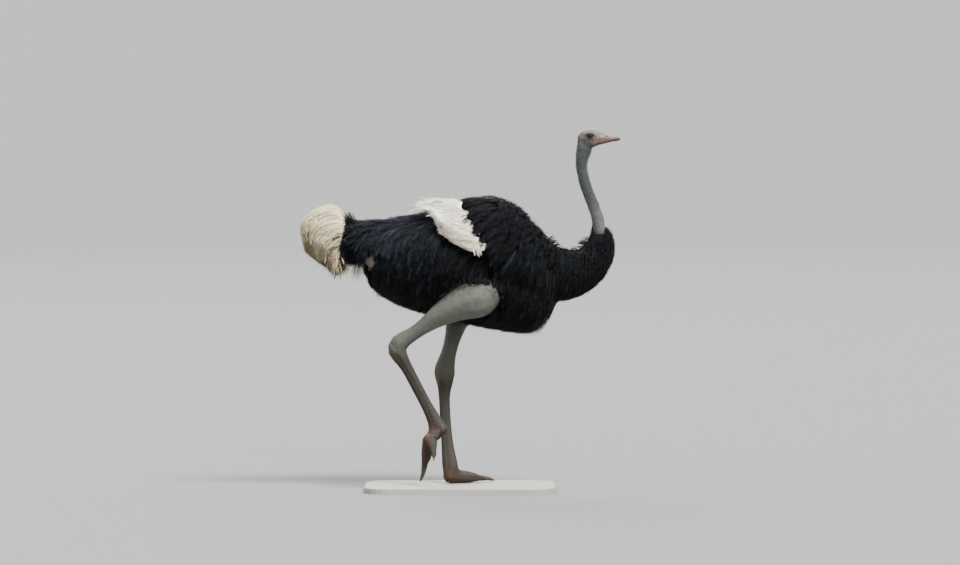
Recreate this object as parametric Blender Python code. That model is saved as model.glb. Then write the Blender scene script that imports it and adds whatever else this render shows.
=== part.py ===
"""A life-size still model of a male Somali ostrich, walking, on a plain display base.

The bird faces +X, its left side is +Y, and +Z is up. The origin is the middle of the
base's underside. All lengths are in metres. The bird stands on its left foot, and its
right foot has just left the ground. Every outline below is the outline of the plumage,
out to the feather tips, and not of the body inside it.

    blender --background --python part.py
"""

import math

import bmesh
import bpy
from mathutils import Matrix, Vector

# Driving dimensions -----------------------------------------------------------------

BASE_LENGTH = 0.96
BASE_WIDTH = 0.58
BASE_THICKNESS = 0.03
BASE_CORNER = 0.12
GAP = 0.0004  # between two pieces that touch

EYE_RADIUS = 0.021
EYE_CENTRE = Vector((0.655, 0.0235, 1.795))
EAR_CENTRE = Vector((0.622, 0.038, 1.768))
EAR_RADIUS = 0.009

FOOT_HEIGHT = 0.066  # from the sole to the centre of the toe joint
TOE_LENGTH = 0.205
CLAW_LENGTH = 0.052
PLANTED_TURN = 30  # degrees that the standing foot points outwards
LIFTED_PITCH = -95  # degrees that the lifted foot hangs down from level
LIFTED_OUTER_PITCH = 26  # degrees that its outer toe stays behind the inner one
LIFTED_HEEL = 0.040  # its heel pad is drawn in up to here

TRUNK_SIDES = 24
TRUNK_RINGS = 21
TRUNK_CROWDING = 0.45  # how strongly its rings crowd towards both ends
NECK_SIDES = 12
NECK_RINGS = 25
SKULL_SIDES = 12
SKULL_RINGS = 10
BILL_SIDES = 8
BILL_RINGS = 9
LEG_SIDES = 10
LEG_RINGS = 27
TOE_SIDES = 8
TOE_RINGS = 13
OUTER_TOE_RINGS = 9
CLAW_SIDES = 8
CLAW_RINGS = 6
PLUME_SIDES = 6
PLUME_RINGS = 6

# The plumage in side view, as keys of (x, height) ------------------------------------

BACK_LINE = (
    (-0.620, 1.310), (-0.595, 1.345), (-0.550, 1.364), (-0.430, 1.368), (-0.210, 1.398),
    (-0.050, 1.446), (0.020, 1.476), (0.150, 1.484), (0.240, 1.462), (0.310, 1.422),
    (0.400, 1.342), (0.470, 1.265), (0.500, 1.225),
)
BELLY_LINE = (
    (-0.620, 1.230), (-0.595, 1.180), (-0.550, 1.140), (-0.430, 1.022), (-0.300, 0.945),
    (-0.100, 0.885), (0.100, 0.838), (0.300, 0.806), (0.385, 0.803), (0.440, 0.858),
    (0.480, 0.935), (0.500, 0.985),
)
# Half of the trunk's width, as keys of (x, half width)
SIDE_LINE = (
    (-0.620, 0.038), (-0.595, 0.062), (-0.550, 0.086), (-0.430, 0.132), (-0.300, 0.175),
    (-0.150, 0.214), (0.000, 0.238), (0.150, 0.245), (0.280, 0.228), (0.400, 0.176),
    (0.470, 0.128), (0.500, 0.098),
)
TAIL_PARTING = -0.480  # where the black tail is told from the trunk

# Spines: rows of (x, y, z, half width, half depth in front, half depth behind) ---------

NECK_SPINE = (
    (0.420, 0, 1.100, 0.100, 0.120, 0.130),
    (0.510, 0, 1.102, 0.112, 0.144, 0.132),
    (0.595, 0, 1.118, 0.098, 0.126, 0.110),
    (0.668, 0, 1.172, 0.082, 0.106, 0.088),
    (0.710, 0, 1.250, 0.066, 0.082, 0.068),
    (0.712, 0, 1.318, 0.046, 0.050, 0.048),
    (0.703, 0, 1.352, 0.036, 0.038, 0.037),
    (0.687, 0, 1.410, 0.030, 0.032, 0.032),
    (0.659, 0, 1.480, 0.028, 0.030, 0.030),
    (0.633, 0, 1.550, 0.0275, 0.030, 0.030),
    (0.616, 0, 1.620, 0.028, 0.031, 0.030),
    (0.614, 0, 1.678, 0.030, 0.036, 0.032),
    (0.622, 0, 1.722, 0.034, 0.046, 0.037),
    (0.636, 0, 1.760, 0.032, 0.034, 0.045),
    (0.644, 0, 1.778, 0.026, 0.028, 0.046),
)
COLLAR = 1.338  # height where the black feathers end on the neck
NAPE = Vector((0.616, 0, 1.706))  # on the cut between neck and head

# The skull along x: (x, height, half width, up, down)
SKULL_ROWS = (
    (0.594, 1.779, 0.012, 0.012, 0.014),
    (0.601, 1.779, 0.023, 0.026, 0.030),
    (0.616, 1.779, 0.034, 0.041, 0.045),
    (0.636, 1.780, 0.0400, 0.049, 0.050),
    (0.657, 1.781, 0.0410, 0.0505, 0.050),
    (0.678, 1.781, 0.0370, 0.0475, 0.044),
    (0.694, 1.781, 0.0310, 0.0395, 0.037),
    (0.708, 1.781, 0.0265, 0.0315, 0.031),
    (0.722, 1.781, 0.0235, 0.0250, 0.0260),
)
BILL_START = 0.700
# The bill along x: (x, top of the upper bill, mouth line, foot of the lower bill, half width)
BILL_ROWS = (
    (0.700, 1.8150, 1.7620, 1.7475, 0.0275),
    (0.716, 1.8075, 1.7665, 1.7515, 0.0250),
    (0.738, 1.7990, 1.7722, 1.7572, 0.0220),
    (0.762, 1.7925, 1.7762, 1.7633, 0.0195),
    (0.784, 1.7880, 1.7772, 1.7677, 0.0165),
    (0.800, 1.7850, 1.7775, 1.7705, 0.0120),
    (0.808, 1.7810, 1.7775, 1.7738, 0.0060),
)

# Each leg from inside the flank down to the toe joint
RIGHT_LEG_SPINE = (
    (0.188, -0.188, 1.012, 0.044, 0.050, 0.050),
    (0.150, -0.196, 1.000, 0.074, 0.088, 0.086),
    (0.090, -0.200, 0.985, 0.082, 0.104, 0.100),
    (0.010, -0.194, 0.955, 0.076, 0.090, 0.092),
    (-0.078, -0.180, 0.908, 0.060, 0.066, 0.068),
    (-0.165, -0.166, 0.850, 0.044, 0.044, 0.045),
    (-0.240, -0.156, 0.798, 0.036, 0.037, 0.040),
    (-0.298, -0.150, 0.756, 0.040, 0.044, 0.052),
    (-0.310, -0.148, 0.716, 0.040, 0.044, 0.054),
    (-0.288, -0.144, 0.668, 0.032, 0.034, 0.038),
    (-0.260, -0.140, 0.616, 0.025, 0.030, 0.030),
    (-0.212, -0.130, 0.523, 0.022, 0.029, 0.029),
    (-0.160, -0.118, 0.424, 0.024, 0.029, 0.030),
    (-0.126, -0.110, 0.352, 0.032, 0.040, 0.038),
    (-0.120, -0.108, 0.304, 0.036, 0.048, 0.042),
)
RIGHT_HOCK = Vector((-0.312, -0.149, 0.736))
LEFT_LEG_SPINE = (
    (0.062, 0.182, 1.010, 0.060, 0.070, 0.070),
    (0.040, 0.178, 0.960, 0.074, 0.088, 0.090),
    (0.010, 0.166, 0.900, 0.066, 0.078, 0.080),
    (-0.018, 0.150, 0.840, 0.052, 0.060, 0.060),
    (-0.040, 0.132, 0.760, 0.040, 0.046, 0.044),
    (-0.058, 0.118, 0.690, 0.036, 0.042, 0.042),
    (-0.074, 0.110, 0.628, 0.040, 0.050, 0.052),
    (-0.078, 0.106, 0.586, 0.040, 0.054, 0.056),
    (-0.077, 0.102, 0.540, 0.033, 0.042, 0.044),
    (-0.080, 0.096, 0.478, 0.024, 0.030, 0.030),
    (-0.076, 0.086, 0.380, 0.022, 0.028, 0.029),
    (-0.066, 0.074, 0.250, 0.023, 0.030, 0.031),
    (-0.056, 0.064, 0.160, 0.030, 0.038, 0.038),
    (-0.050, 0.060, 0.108, 0.036, 0.044, 0.042),
    (-0.048, 0.060, 0.082, 0.033, 0.036, 0.036),
)
LEFT_HOCK = Vector((-0.077, 0.106, 0.592))

# The foot in its own frame: the toe joint is the origin, the toe points along +X and
# the sole is down. Rows of (x, top, underside, half width).
TOE_ROWS = (
    (-0.036, -0.006, -0.040, 0.018),
    (-0.022, 0.022, -0.060, 0.030),
    (0.008, 0.029, -0.066, 0.035),
    (0.036, 0.014, -0.066, 0.034),
    (0.060, -0.002, -0.066, 0.032),
    (0.086, 0.001, -0.066, 0.034),
    (0.112, -0.012, -0.066, 0.031),
    (0.136, -0.010, -0.066, 0.032),
    (0.160, -0.022, -0.066, 0.028),
    (0.180, -0.021, -0.066, 0.027),
    (0.198, -0.031, -0.066, 0.020),
    (TOE_LENGTH, -0.042, -0.064, 0.013),
)
OUTER_TOE_ROWS = (
    (0.002, 0.006, -0.050, 0.014),
    (0.020, 0.004, -0.066, 0.020),
    (0.044, -0.012, -0.066, 0.019),
    (0.066, -0.012, -0.066, 0.020),
    (0.088, -0.024, -0.066, 0.017),
    (0.104, -0.024, -0.066, 0.017),
    (0.120, -0.034, -0.066, 0.012),
    (0.127, -0.042, -0.064, 0.007),
)
OUTER_TOE_SPLAY = 24  # degrees
OUTER_TOE_OFFSET = 0.030

# The folded wing lies on the trunk. Shares run from 0 at its upper edge to 1 at its
# lower edge, and the angles are those of the trunk's own section above its widest point.
WING_TOP_ANGLE = 80
WING_FOOT_ANGLE = -14
WING_FRONT = (0.345, 0.440)  # x of the front edge, above and below
WING_REAR = (-0.002, 0.130)  # x of the rear edge, above and below
WING_THICKNESS = 0.038
WING_RIM = 0.010
WING_DEPTH = 0.012  # how far the uncut wing reaches into the trunk
WING_COLUMNS = 9
WING_ROWS = 7

# The white flight plumes fan back from the wing's rear edge to a point over the rump.
# Each curve is its root, the point that pulls it outwards, and its tip.
PLUME_COUNT = 5
UPPER_PLUME = (
    Vector((0.015, 0.170, 1.452)), Vector((-0.095, 0.152, 1.472)), Vector((-0.208, 0.100, 1.455)),
)
LOWER_PLUME = (
    Vector((0.138, 0.268, 1.242)), Vector((-0.060, 0.262, 1.262)), Vector((-0.148, 0.158, 1.416)),
)
PLUME_HALF_WIDTH = 0.040
PLUME_HALF_THICKNESS = 0.014

# The white tail hangs like a mop over the end of the black tail: a spine like the neck's,
# with ridges along it
TAIL_SPINE = (
    (-0.562, 0, 1.262, 0.030, 0.040, 0.060),
    (-0.590, 0, 1.276, 0.096, 0.112, 0.152),
    (-0.650, 0, 1.290, 0.124, 0.160, 0.152),
    (-0.700, 0, 1.300, 0.134, 0.152, 0.136),
    (-0.748, 0, 1.310, 0.122, 0.122, 0.106),
    (-0.780, 0, 1.318, 0.088, 0.078, 0.070),
    (-0.798, 0, 1.318, 0.030, 0.026, 0.024),
)
TAIL_SIDES = 22
TAIL_RINGS = 9
TAIL_GROOVE = 0.93  # width of the mop in the grooves between two plumes

# Colours (linear RGB), roughness -------------------------------------------------------

FINISHES = {
    "black_plumage": ((0.012, 0.012, 0.013), 0.85),
    "white_plumage": ((0.80, 0.77, 0.68), 0.80),
    "bare_skin": ((0.23, 0.245, 0.235), 0.60),
    "scaled_leg": ((0.20, 0.185, 0.150), 0.60),
    "bill_horn": ((0.42, 0.18, 0.14), 0.45),
    "claw_horn": ((0.090, 0.060, 0.040), 0.45),
    "eye": ((0.030, 0.018, 0.010), 0.10),
    "display_base": ((0.36, 0.35, 0.33), 0.70),
}


# Tools ---------------------------------------------------------------------------------


def clear_scene():
    for obj in list(bpy.data.objects):
        bpy.data.objects.remove(obj, do_unlink=True)


def material(name):
    """The Principled material of that finish, made once."""
    found = bpy.data.materials.get(name)
    if found:
        return found
    made = bpy.data.materials.new(name)
    made.use_nodes = True
    shader = made.node_tree.nodes["Principled BSDF"]
    colour, roughness = FINISHES[name]
    shader.inputs["Base Color"].default_value = (*colour, 1)
    shader.inputs["Roughness"].default_value = roughness
    shader.inputs["Metallic"].default_value = 0.0
    made.diffuse_color = (*colour, 1)
    return made


def line_at(keys, x):
    """The height at x of the smooth line through keys of (x, height).

    The slopes are limited so that the line never swings past its keys.
    """
    x = min(max(x, keys[0][0]), keys[-1][0])
    steps = [(b[1] - a[1]) / (b[0] - a[0]) for a, b in zip(keys, keys[1:])]
    slopes = [steps[0]]
    for before, after in zip(steps, steps[1:]):
        flat = before * after <= 0
        slopes.append(0 if flat else 2 * before * after / (before + after))
    slopes.append(steps[-1])
    i = next(k for k in range(len(steps)) if x <= keys[k + 1][0])
    width = keys[i + 1][0] - keys[i][0]
    t = (x - keys[i][0]) / width
    low, high = keys[i][1], keys[i + 1][1]
    return (
        low * (1 + 2 * t) * (1 - t) ** 2
        + slopes[i] * width * t * (1 - t) ** 2
        + high * t * t * (3 - 2 * t)
        + slopes[i + 1] * width * t * t * (t - 1)
    )


def row_at(rows, share):
    """The row at that share of the way along, on a Catmull-Rom curve through the rows."""
    place = share * (len(rows) - 1)
    i = min(int(place), len(rows) - 2)
    t = place - i
    before = rows[max(i - 1, 0)]
    after = rows[min(i + 2, len(rows) - 1)]
    mixed = []
    for a, b, c, d in zip(before, rows[i], rows[i + 1], after):
        bend = 2 * a - 5 * b + 4 * c - d
        turn = 3 * b - a - 3 * c + d
        mixed.append(b + 0.5 * t * (c - a + t * (bend + t * turn)))
    return mixed


def skin_rings(name, rings, finish):
    """A closed body over rings of points.

    It is made of triangles, so that it bends in the same places as a cutter made from it.
    """
    bm = bmesh.new()
    loops = [[bm.verts.new(point) for point in ring] for ring in rings]
    for near, far in zip(loops, loops[1:]):
        for i in range(len(near)):
            bm.faces.new((near[i - 1], near[i], far[i], far[i - 1]))
    bm.faces.new(loops[0])
    bm.faces.new(loops[-1])
    bmesh.ops.triangulate(bm, faces=bm.faces)
    bmesh.ops.recalc_face_normals(bm, faces=bm.faces)
    return new_object(name, bm, finish)


def new_object(name, bm, finish):
    mesh = bpy.data.meshes.new(name)
    bm.to_mesh(mesh)
    bm.free()
    obj = bpy.data.objects.new(name, mesh)
    mesh.materials.append(material(finish))
    bird.objects.link(obj)
    return obj


def section(centre, across, front, half_width, ahead, behind, sides, groove=1.0):
    """One ring of a limb: its front half is `ahead` deep and its back half `behind`.

    Every second point is drawn in by the share that `groove` leaves.
    """
    ring = []
    for i in range(sides):
        angle = math.tau * i / sides
        depth = ahead if math.sin(angle) > 0 else behind
        reach = groove if i % 2 else 1.0
        offset = across * half_width * math.cos(angle) + front * depth * math.sin(angle)
        ring.append(centre + offset * reach)
    return ring


def limb(name, rows, sides, rings, finish, upward, groove=1.0):
    """A tapering tube along a spine. Its front is the throat or the shin."""
    made = []
    for i in range(rings):
        share = i / (rings - 1)
        x, y, z, half_width, ahead, behind = row_at(rows, share)
        after = Vector(row_at(rows, min(share + 0.01, 1))[:3])
        before = Vector(row_at(rows, max(share - 0.01, 0))[:3])
        along = (after - before).normalized()
        across = Vector((0, 1, 0))
        across = (across - along * across.dot(along)).normalized()
        front = across.cross(along) if upward else along.cross(across)
        centre = Vector((x, y, z))
        made.append(
            section(centre, across, front, half_width, ahead, behind, sides, groove)
        )
    return skin_rings(name, made, finish)


def settle(obj):
    """Applies the object's modifiers to its mesh."""
    graph = bpy.context.evaluated_depsgraph_get()
    mesh = bpy.data.meshes.new_from_object(obj.evaluated_get(graph))
    obj.modifiers.clear()
    obj.data = mesh
    return obj


def combine(obj, other, operation):
    boolean = obj.modifiers.new(operation.title(), "BOOLEAN")
    boolean.operation = operation
    boolean.object = other
    settle(obj)


def absorb(obj, other):
    """Joins the other body to obj and removes it."""
    combine(obj, other, "UNION")
    bpy.data.objects.remove(other, do_unlink=True)


def carve(obj, neighbour, gap=GAP):
    """Cuts from obj the space of its neighbour, with the gap round it."""
    cutter = bpy.data.objects.new(neighbour.name + "_cutter", neighbour.data.copy())
    cutters.objects.link(cutter)
    swell = cutter.modifiers.new("Swell", "DISPLACE")
    swell.strength = gap
    swell.mid_level = 0
    settle(cutter)
    combine(obj, cutter, "DIFFERENCE")
    bpy.data.objects.remove(cutter, do_unlink=True)


def cut_plane(obj, point, normal):
    """Removes what lies on the side that normal points to, and closes the cut."""
    bm = bmesh.new()
    bm.from_mesh(obj.data)
    everything = bm.verts[:] + bm.edges[:] + bm.faces[:]
    bmesh.ops.bisect_plane(
        bm, geom=everything, plane_co=point, plane_no=normal, clear_outer=True
    )
    rim = [edge for edge in bm.edges if edge.is_boundary]
    bmesh.ops.holes_fill(bm, edges=rim, sides=0)
    bmesh.ops.recalc_face_normals(bm, faces=bm.faces)
    bm.to_mesh(obj.data)
    bm.free()


def part(obj, far_name, finish, point, normal):
    """Parts obj with a thin cut. What lies beyond the plane becomes a new object."""
    normal = normal.normalized()
    far = bpy.data.objects.new(far_name, obj.data.copy())
    far.data.materials.clear()
    far.data.materials.append(material(finish))
    bird.objects.link(far)
    cut_plane(obj, point - normal * GAP / 2, normal)
    cut_plane(far, point + normal * GAP / 2, -normal)
    return far


def mirrored(point, side):
    return Vector((point.x, point.y * side, point.z))


# The body --------------------------------------------------------------------------------


def trunk_point(x, angle, swell=0.0):
    """A point of the trunk's surface, at an angle above its widest level, in radians."""
    top, foot, side = (line_at(keys, x) for keys in (BACK_LINE, BELLY_LINE, SIDE_LINE))
    middle = foot + 0.58 * (top - foot)
    rise = top - middle if math.sin(angle) > 0 else middle - foot
    return Vector((
        x,
        (side + swell) * math.cos(angle),
        middle + (rise + swell) * math.sin(angle),
    ))


def make_trunk():
    """The black body, from the breast to the root of the tail."""
    rings = []
    rear, front = BACK_LINE[0][0], BACK_LINE[-1][0]
    for i in range(TRUNK_RINGS):
        share = i / (TRUNK_RINGS - 1)
        eased = 0.5 - 0.5 * math.cos(math.pi * share)
        x = rear + (share + TRUNK_CROWDING * (eased - share)) * (front - rear)
        rings.append(
            [trunk_point(x, math.tau * k / TRUNK_SIDES) for k in range(TRUNK_SIDES)]
        )
    return skin_rings("trunk", rings, "black_plumage")


def make_wing(side):
    """The black folded wing: a pad on the trunk, thickest in its middle."""
    rings = []
    for column in range(WING_COLUMNS + 1):
        along = column / WING_COLUMNS
        outer, inner = [], []
        for row in range(WING_ROWS + 1):
            down = row / WING_ROWS
            angle = math.radians(WING_TOP_ANGLE + (WING_FOOT_ANGLE - WING_TOP_ANGLE) * down)
            front = WING_FRONT[0] + (WING_FRONT[1] - WING_FRONT[0]) * down
            rear = WING_REAR[0] + (WING_REAR[1] - WING_REAR[0]) * down
            x = front + (rear - front) * along
            crown = math.sin(math.pi * along) * math.sin(math.pi * down)
            outer.append(trunk_point(x, angle, WING_RIM + WING_THICKNESS * math.sqrt(crown)))
            inner.append(trunk_point(x, angle, -WING_DEPTH))
        rings.append([mirrored(p, side) for p in outer + inner[::-1]])
    name = "wing_left" if side > 0 else "wing_right"
    return skin_rings(name, rings, "black_plumage")


def plume(name, pull, half_width, half_thickness, across):
    """One broad white plume along a bend, blunt at its root and rounded at its tip."""
    root, middle, tip = pull
    rings = []
    for i in range(PLUME_RINGS):
        share = i / (PLUME_RINGS - 1)
        centre = root.lerp(middle, share).lerp(middle.lerp(tip, share), share)
        along = (middle - root).lerp(tip - middle, share).normalized()
        side = (across - along * across.dot(along)).normalized()
        full = math.sqrt(1 - 0.9 * abs(2 * share - 0.9) ** 3 / 1.1 ** 3)
        thick = half_thickness * full
        rings.append(
            section(centre, side, side.cross(along), half_width * full, thick, thick, PLUME_SIDES)
        )
    return skin_rings(name, rings, "white_plumage")


def join_all(pieces):
    """One body from pieces that run into each other."""
    whole, *rest = pieces
    for piece in rest:
        absorb(whole, piece)
    return whole


def make_wing_plumes(side):
    """The white flight plumes of one wing."""
    name = "wing_plumes_left" if side > 0 else "wing_plumes_right"
    blades = []
    for i in range(PLUME_COUNT):
        share = i / (PLUME_COUNT - 1)
        pull = [mirrored(a.lerp(b, share), side) for a, b in zip(UPPER_PLUME, LOWER_PLUME)]
        across = mirrored(Vector((0.3, 0.5 - 0.4 * share, -0.6 - 0.3 * share)), side)
        blades.append(plume(name, pull, PLUME_HALF_WIDTH, PLUME_HALF_THICKNESS, across))
    return join_all(blades)


def make_tail_plumes():
    """The white tail, with a groove between each two plumes."""
    return limb(
        "tail_plumes", TAIL_SPINE, TAIL_SIDES, TAIL_RINGS, "white_plumage",
        upward=True, groove=TAIL_GROOVE,
    )


# The neck and head -------------------------------------------------------------------------


def make_skull():
    rings = []
    for i in range(SKULL_RINGS):
        x, height, half_width, up, down = row_at(SKULL_ROWS, i / (SKULL_RINGS - 1))
        rings.append(section(
            Vector((x, 0, height)), Vector((0, 1, 0)), Vector((0, 0, 1)),
            half_width, up, down, SKULL_SIDES,
        ))
    return skin_rings("head", rings, "bare_skin")


def make_bill(upper):
    """One half of the bill. The halves meet along the mouth, and both are cut flat there."""
    rings = []
    for i in range(BILL_RINGS):
        x, top, mouth, foot, half_width = row_at(BILL_ROWS, i / (BILL_RINGS - 1))
        if upper:
            centre, up, down = mouth + GAP / 2, top - mouth, 0.0
        else:
            centre, up, down = mouth - GAP / 2, 0.0, mouth - foot
        ring = []
        for k in range(BILL_SIDES + 1):
            angle = math.pi * k / BILL_SIDES
            rise = up if upper else -down
            ring.append(Vector((
                x, half_width * math.cos(angle), centre + rise * math.sin(angle) ** 0.8
            )))
        rings.append(ring)
    return skin_rings("bill_upper" if upper else "bill_lower", rings, "bill_horn")


def ball(name, centre, radius, finish, segments=12, rings=8):
    bm = bmesh.new()
    turn = Matrix.Rotation(math.pi / 2, 4, "X")  # its poles lie along Y
    bmesh.ops.create_uvsphere(
        bm, u_segments=segments, v_segments=rings, radius=radius,
        matrix=Matrix.Translation(centre) @ turn,
    )
    return new_object(name, bm, finish)


def make_head_and_neck(trunk):
    """Skull, neck and ruff are joined whole, then told apart with thin cuts."""
    head = make_skull()
    ruff = limb("neck_ruff", NECK_SPINE, NECK_SIDES, NECK_RINGS, "black_plumage", upward=True)
    absorb(ruff, head)
    carve(ruff, trunk)
    collar_slope = Vector((-0.20, 0, 1))
    neck = part(ruff, "neck", "bare_skin", Vector((0.704, 0, COLLAR)), collar_slope)
    head = part(neck, "head", "bare_skin", NAPE, Vector((0.25, 0, 1)))

    for upper in (True, False):
        bill = make_bill(upper)
        cut_plane(bill, Vector((BILL_START, 0, 0)), Vector((-1, 0, 0)))
        carve(head, bill)
    for side in (1, -1):
        word = "left" if side > 0 else "right"
        eye = ball("eye_" + word, mirrored(EYE_CENTRE, side), EYE_RADIUS, "eye")
        carve(head, eye)
        ear = ball("ear_hole", mirrored(EAR_CENTRE, side), EAR_RADIUS, "bare_skin", 8, 5)
        combine(head, ear, "DIFFERENCE")
        bpy.data.objects.remove(ear, do_unlink=True)


# The legs ------------------------------------------------------------------------------------


def toe(name, rows, rings, finish):
    """A toe in the foot's own frame, on a flat sole."""
    made = []
    for i in range(rings):
        x, top, underside, half_width = row_at(rows, i / (rings - 1))
        middle = (top + underside) / 2
        ring = []
        for k in range(TOE_SIDES):
            angle = math.tau * (k + 0.5) / TOE_SIDES
            height = middle + (top - middle) * math.sin(angle) * 1.05
            ring.append(Vector((x, half_width * math.cos(angle) * 1.05, height)))
        made.append(ring)
    return skin_rings(name, made, finish)


def claw(name, root, length, half_width, finish):
    """A stout nail that curves down to a blunt point, in the foot's own frame."""
    rings = []
    for i in range(CLAW_RINGS):
        share = i / (CLAW_RINGS - 1)
        size = math.sqrt(1 - 0.93 * share ** 1.6)
        centre = root + Vector((length * share, 0, -0.004 * share - 0.010 * share ** 2))
        rings.append(section(
            centre, Vector((0, 1, 0)), Vector((0, 0, 1)),
            half_width * size, half_width * 0.95 * size, half_width * 0.62 * size, CLAW_SIDES,
        ))
    return skin_rings(name, rings, finish)


def make_foot(side, shank, joint, pitch, outer_pitch, turn):
    """Both toes and their claws, turned into place about the toe joint.

    A foot that hangs down has no weight on its heel, so the pad there is drawn in.
    """
    word = "left" if side > 0 else "right"
    big = toe("toe_inner_" + word, TOE_ROWS, TOE_RINGS, "scaled_leg")
    outer = toe("toe_outer_" + word, OUTER_TOE_ROWS, OUTER_TOE_RINGS, "scaled_leg")
    splay = (
        Matrix.Translation((0, OUTER_TOE_OFFSET * side, 0))
        @ Matrix.Rotation(math.radians(OUTER_TOE_SPLAY * side), 4, "Z")
        @ Matrix.Rotation(math.radians(-outer_pitch), 4, "Y")
    )
    nail = claw(
        "claw_inner_" + word, Vector((TOE_LENGTH - 0.020, 0, -0.046)), CLAW_LENGTH + 0.020,
        0.0165, "claw_horn",
    )
    small_nail = claw(
        "claw_outer_" + word, Vector((0.110, 0, -0.050)), 0.032, 0.009, "claw_horn"
    )
    pieces = (big, outer, nail, small_nail)
    for piece in pieces:
        cut_plane(piece, Vector((0, 0, -FOOT_HEIGHT)), Vector((0, 0, -1)))
    if pitch:
        cut_plane(big, Vector((LIFTED_HEEL, 0, -FOOT_HEIGHT)), Vector((-0.6, 0, -0.8)))
    for piece in (outer, small_nail):
        piece.data.transform(splay)
    place = (
        Matrix.Translation(joint)
        @ Matrix.Rotation(math.radians(turn * side), 4, "Z")
        @ Matrix.Rotation(math.radians(-pitch), 4, "Y")
    )
    for piece in pieces:
        piece.data.transform(place)
    carve(outer, big)
    carve(big, nail)
    carve(outer, small_nail)
    for piece in (big, outer):
        carve(piece, shank)


def make_leg(side, trunk):
    word = "left" if side > 0 else "right"
    spine = LEFT_LEG_SPINE if side > 0 else RIGHT_LEG_SPINE
    hock = LEFT_HOCK if side > 0 else RIGHT_HOCK
    thigh = limb("thigh_" + word, spine, LEG_SIDES, LEG_RINGS, "bare_skin", upward=False)
    carve(thigh, trunk)
    along = Vector((0, 0, -1)) if side > 0 else Vector((0.10, 0, -1))
    shank = part(thigh, "shank_" + word, "scaled_leg", hock, along)
    joint = Vector(spine[-1][:3])
    if side > 0:
        joint.z = BASE_THICKNESS + GAP + FOOT_HEIGHT
        make_foot(side, shank, joint, 0, 0, PLANTED_TURN)
    else:
        make_foot(side, shank, joint, LIFTED_PITCH, LIFTED_OUTER_PITCH, 4)


# The display base -------------------------------------------------------------------------


def make_base():
    """A plain low plinth with rounded corners and a softened upper edge."""
    bm = bmesh.new()
    bmesh.ops.create_cube(
        bm, size=1,
        matrix=Matrix.Translation((0, 0, BASE_THICKNESS / 2))
        @ Matrix.Diagonal((BASE_LENGTH, BASE_WIDTH, BASE_THICKNESS, 1)),
    )
    upright = [e for e in bm.edges if abs(e.verts[0].co.z - e.verts[1].co.z) > 1e-6]
    bmesh.ops.bevel(
        bm, geom=upright, offset=BASE_CORNER, offset_type="OFFSET", affect="EDGES",
        segments=6, profile=0.5, material=-1,
    )
    rim = [e for e in bm.edges if all(v.co.z > BASE_THICKNESS - 1e-6 for v in e.verts)]
    bmesh.ops.bevel(
        bm, geom=rim, offset=0.005, offset_type="OFFSET", affect="EDGES",
        segments=2, profile=0.5, material=-1,
    )
    return new_object("stand_base", bm, "display_base")


def shade(obj):
    obj.data.shade_smooth()
    obj.data.set_sharp_from_angle(angle=math.radians(40))


def main():
    make_base()
    trunk = make_trunk()
    wings = [make_wing(side) for side in (1, -1)]
    wing_plumes = [make_wing_plumes(side) for side in (1, -1)]
    for wing, plumes in zip(wings, wing_plumes):
        carve(wing, trunk)
        carve(plumes, trunk)
        carve(plumes, wing)
    make_head_and_neck(trunk)
    for side in (1, -1):
        make_leg(side, trunk)
    tail = part(
        trunk, "tail", "black_plumage", Vector((TAIL_PARTING, 0, 0)), Vector((-1, 0, 0))
    )
    tail_plumes = make_tail_plumes()
    carve(tail_plumes, tail)
    for obj in bird.objects:
        shade(obj)


clear_scene()
bird = bpy.data.collections.new("ostrich")
cutters = bpy.data.collections.new("cutters")
for collection in (bird, cutters):
    bpy.context.scene.collection.children.link(collection)
main()
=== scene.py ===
"""A life-size still model of a walking male Somali ostrich, dressed in skin and feathers.

The solids of the frame give every outline. One skin is laid inside them, and the plumes,
each a vane with two rows of barbs, are rooted below their surface and lie along it. The
bird faces +X, its left side is +Y, and all lengths are in metres.
"""

import itertools
import math
from dataclasses import dataclass

import bmesh
import bpy
import numpy as np
from bpy.props import FloatProperty, FloatVectorProperty, IntProperty, PointerProperty
from mathutils import Matrix, Vector
from mathutils.bvhtree import BVHTree


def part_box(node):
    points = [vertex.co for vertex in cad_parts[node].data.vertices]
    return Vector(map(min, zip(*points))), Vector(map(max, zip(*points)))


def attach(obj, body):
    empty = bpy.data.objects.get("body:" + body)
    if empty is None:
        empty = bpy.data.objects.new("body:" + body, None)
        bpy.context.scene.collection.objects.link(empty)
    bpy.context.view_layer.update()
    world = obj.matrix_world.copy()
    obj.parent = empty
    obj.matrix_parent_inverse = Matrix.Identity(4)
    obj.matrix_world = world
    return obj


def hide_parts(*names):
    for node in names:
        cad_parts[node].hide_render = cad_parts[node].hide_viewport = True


bl_info = {
    "name": "Walking Ostrich",
    "version": (1, 0, 0),
    "blender": (4, 5, 0),
    "location": "View3D > Sidebar > Ostrich",
    "description": "Builds the skin, plumage, bill, eyes and claws of a life-size ostrich",
    "category": "Object",
}

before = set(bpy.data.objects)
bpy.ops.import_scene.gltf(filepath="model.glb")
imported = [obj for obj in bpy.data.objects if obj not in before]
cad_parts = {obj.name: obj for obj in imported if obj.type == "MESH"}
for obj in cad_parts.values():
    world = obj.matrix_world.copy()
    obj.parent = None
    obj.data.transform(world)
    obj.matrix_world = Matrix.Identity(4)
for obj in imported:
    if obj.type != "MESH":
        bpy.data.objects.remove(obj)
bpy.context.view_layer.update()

SIDES = (("left", 1), ("right", -1))
DOWN = np.array((0.0, 0.0, -1.0))

# Named places, from the frame -----------------------------------------------------------


def centre_of(node):
    low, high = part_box(node)
    return (low + high) / 2


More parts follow.
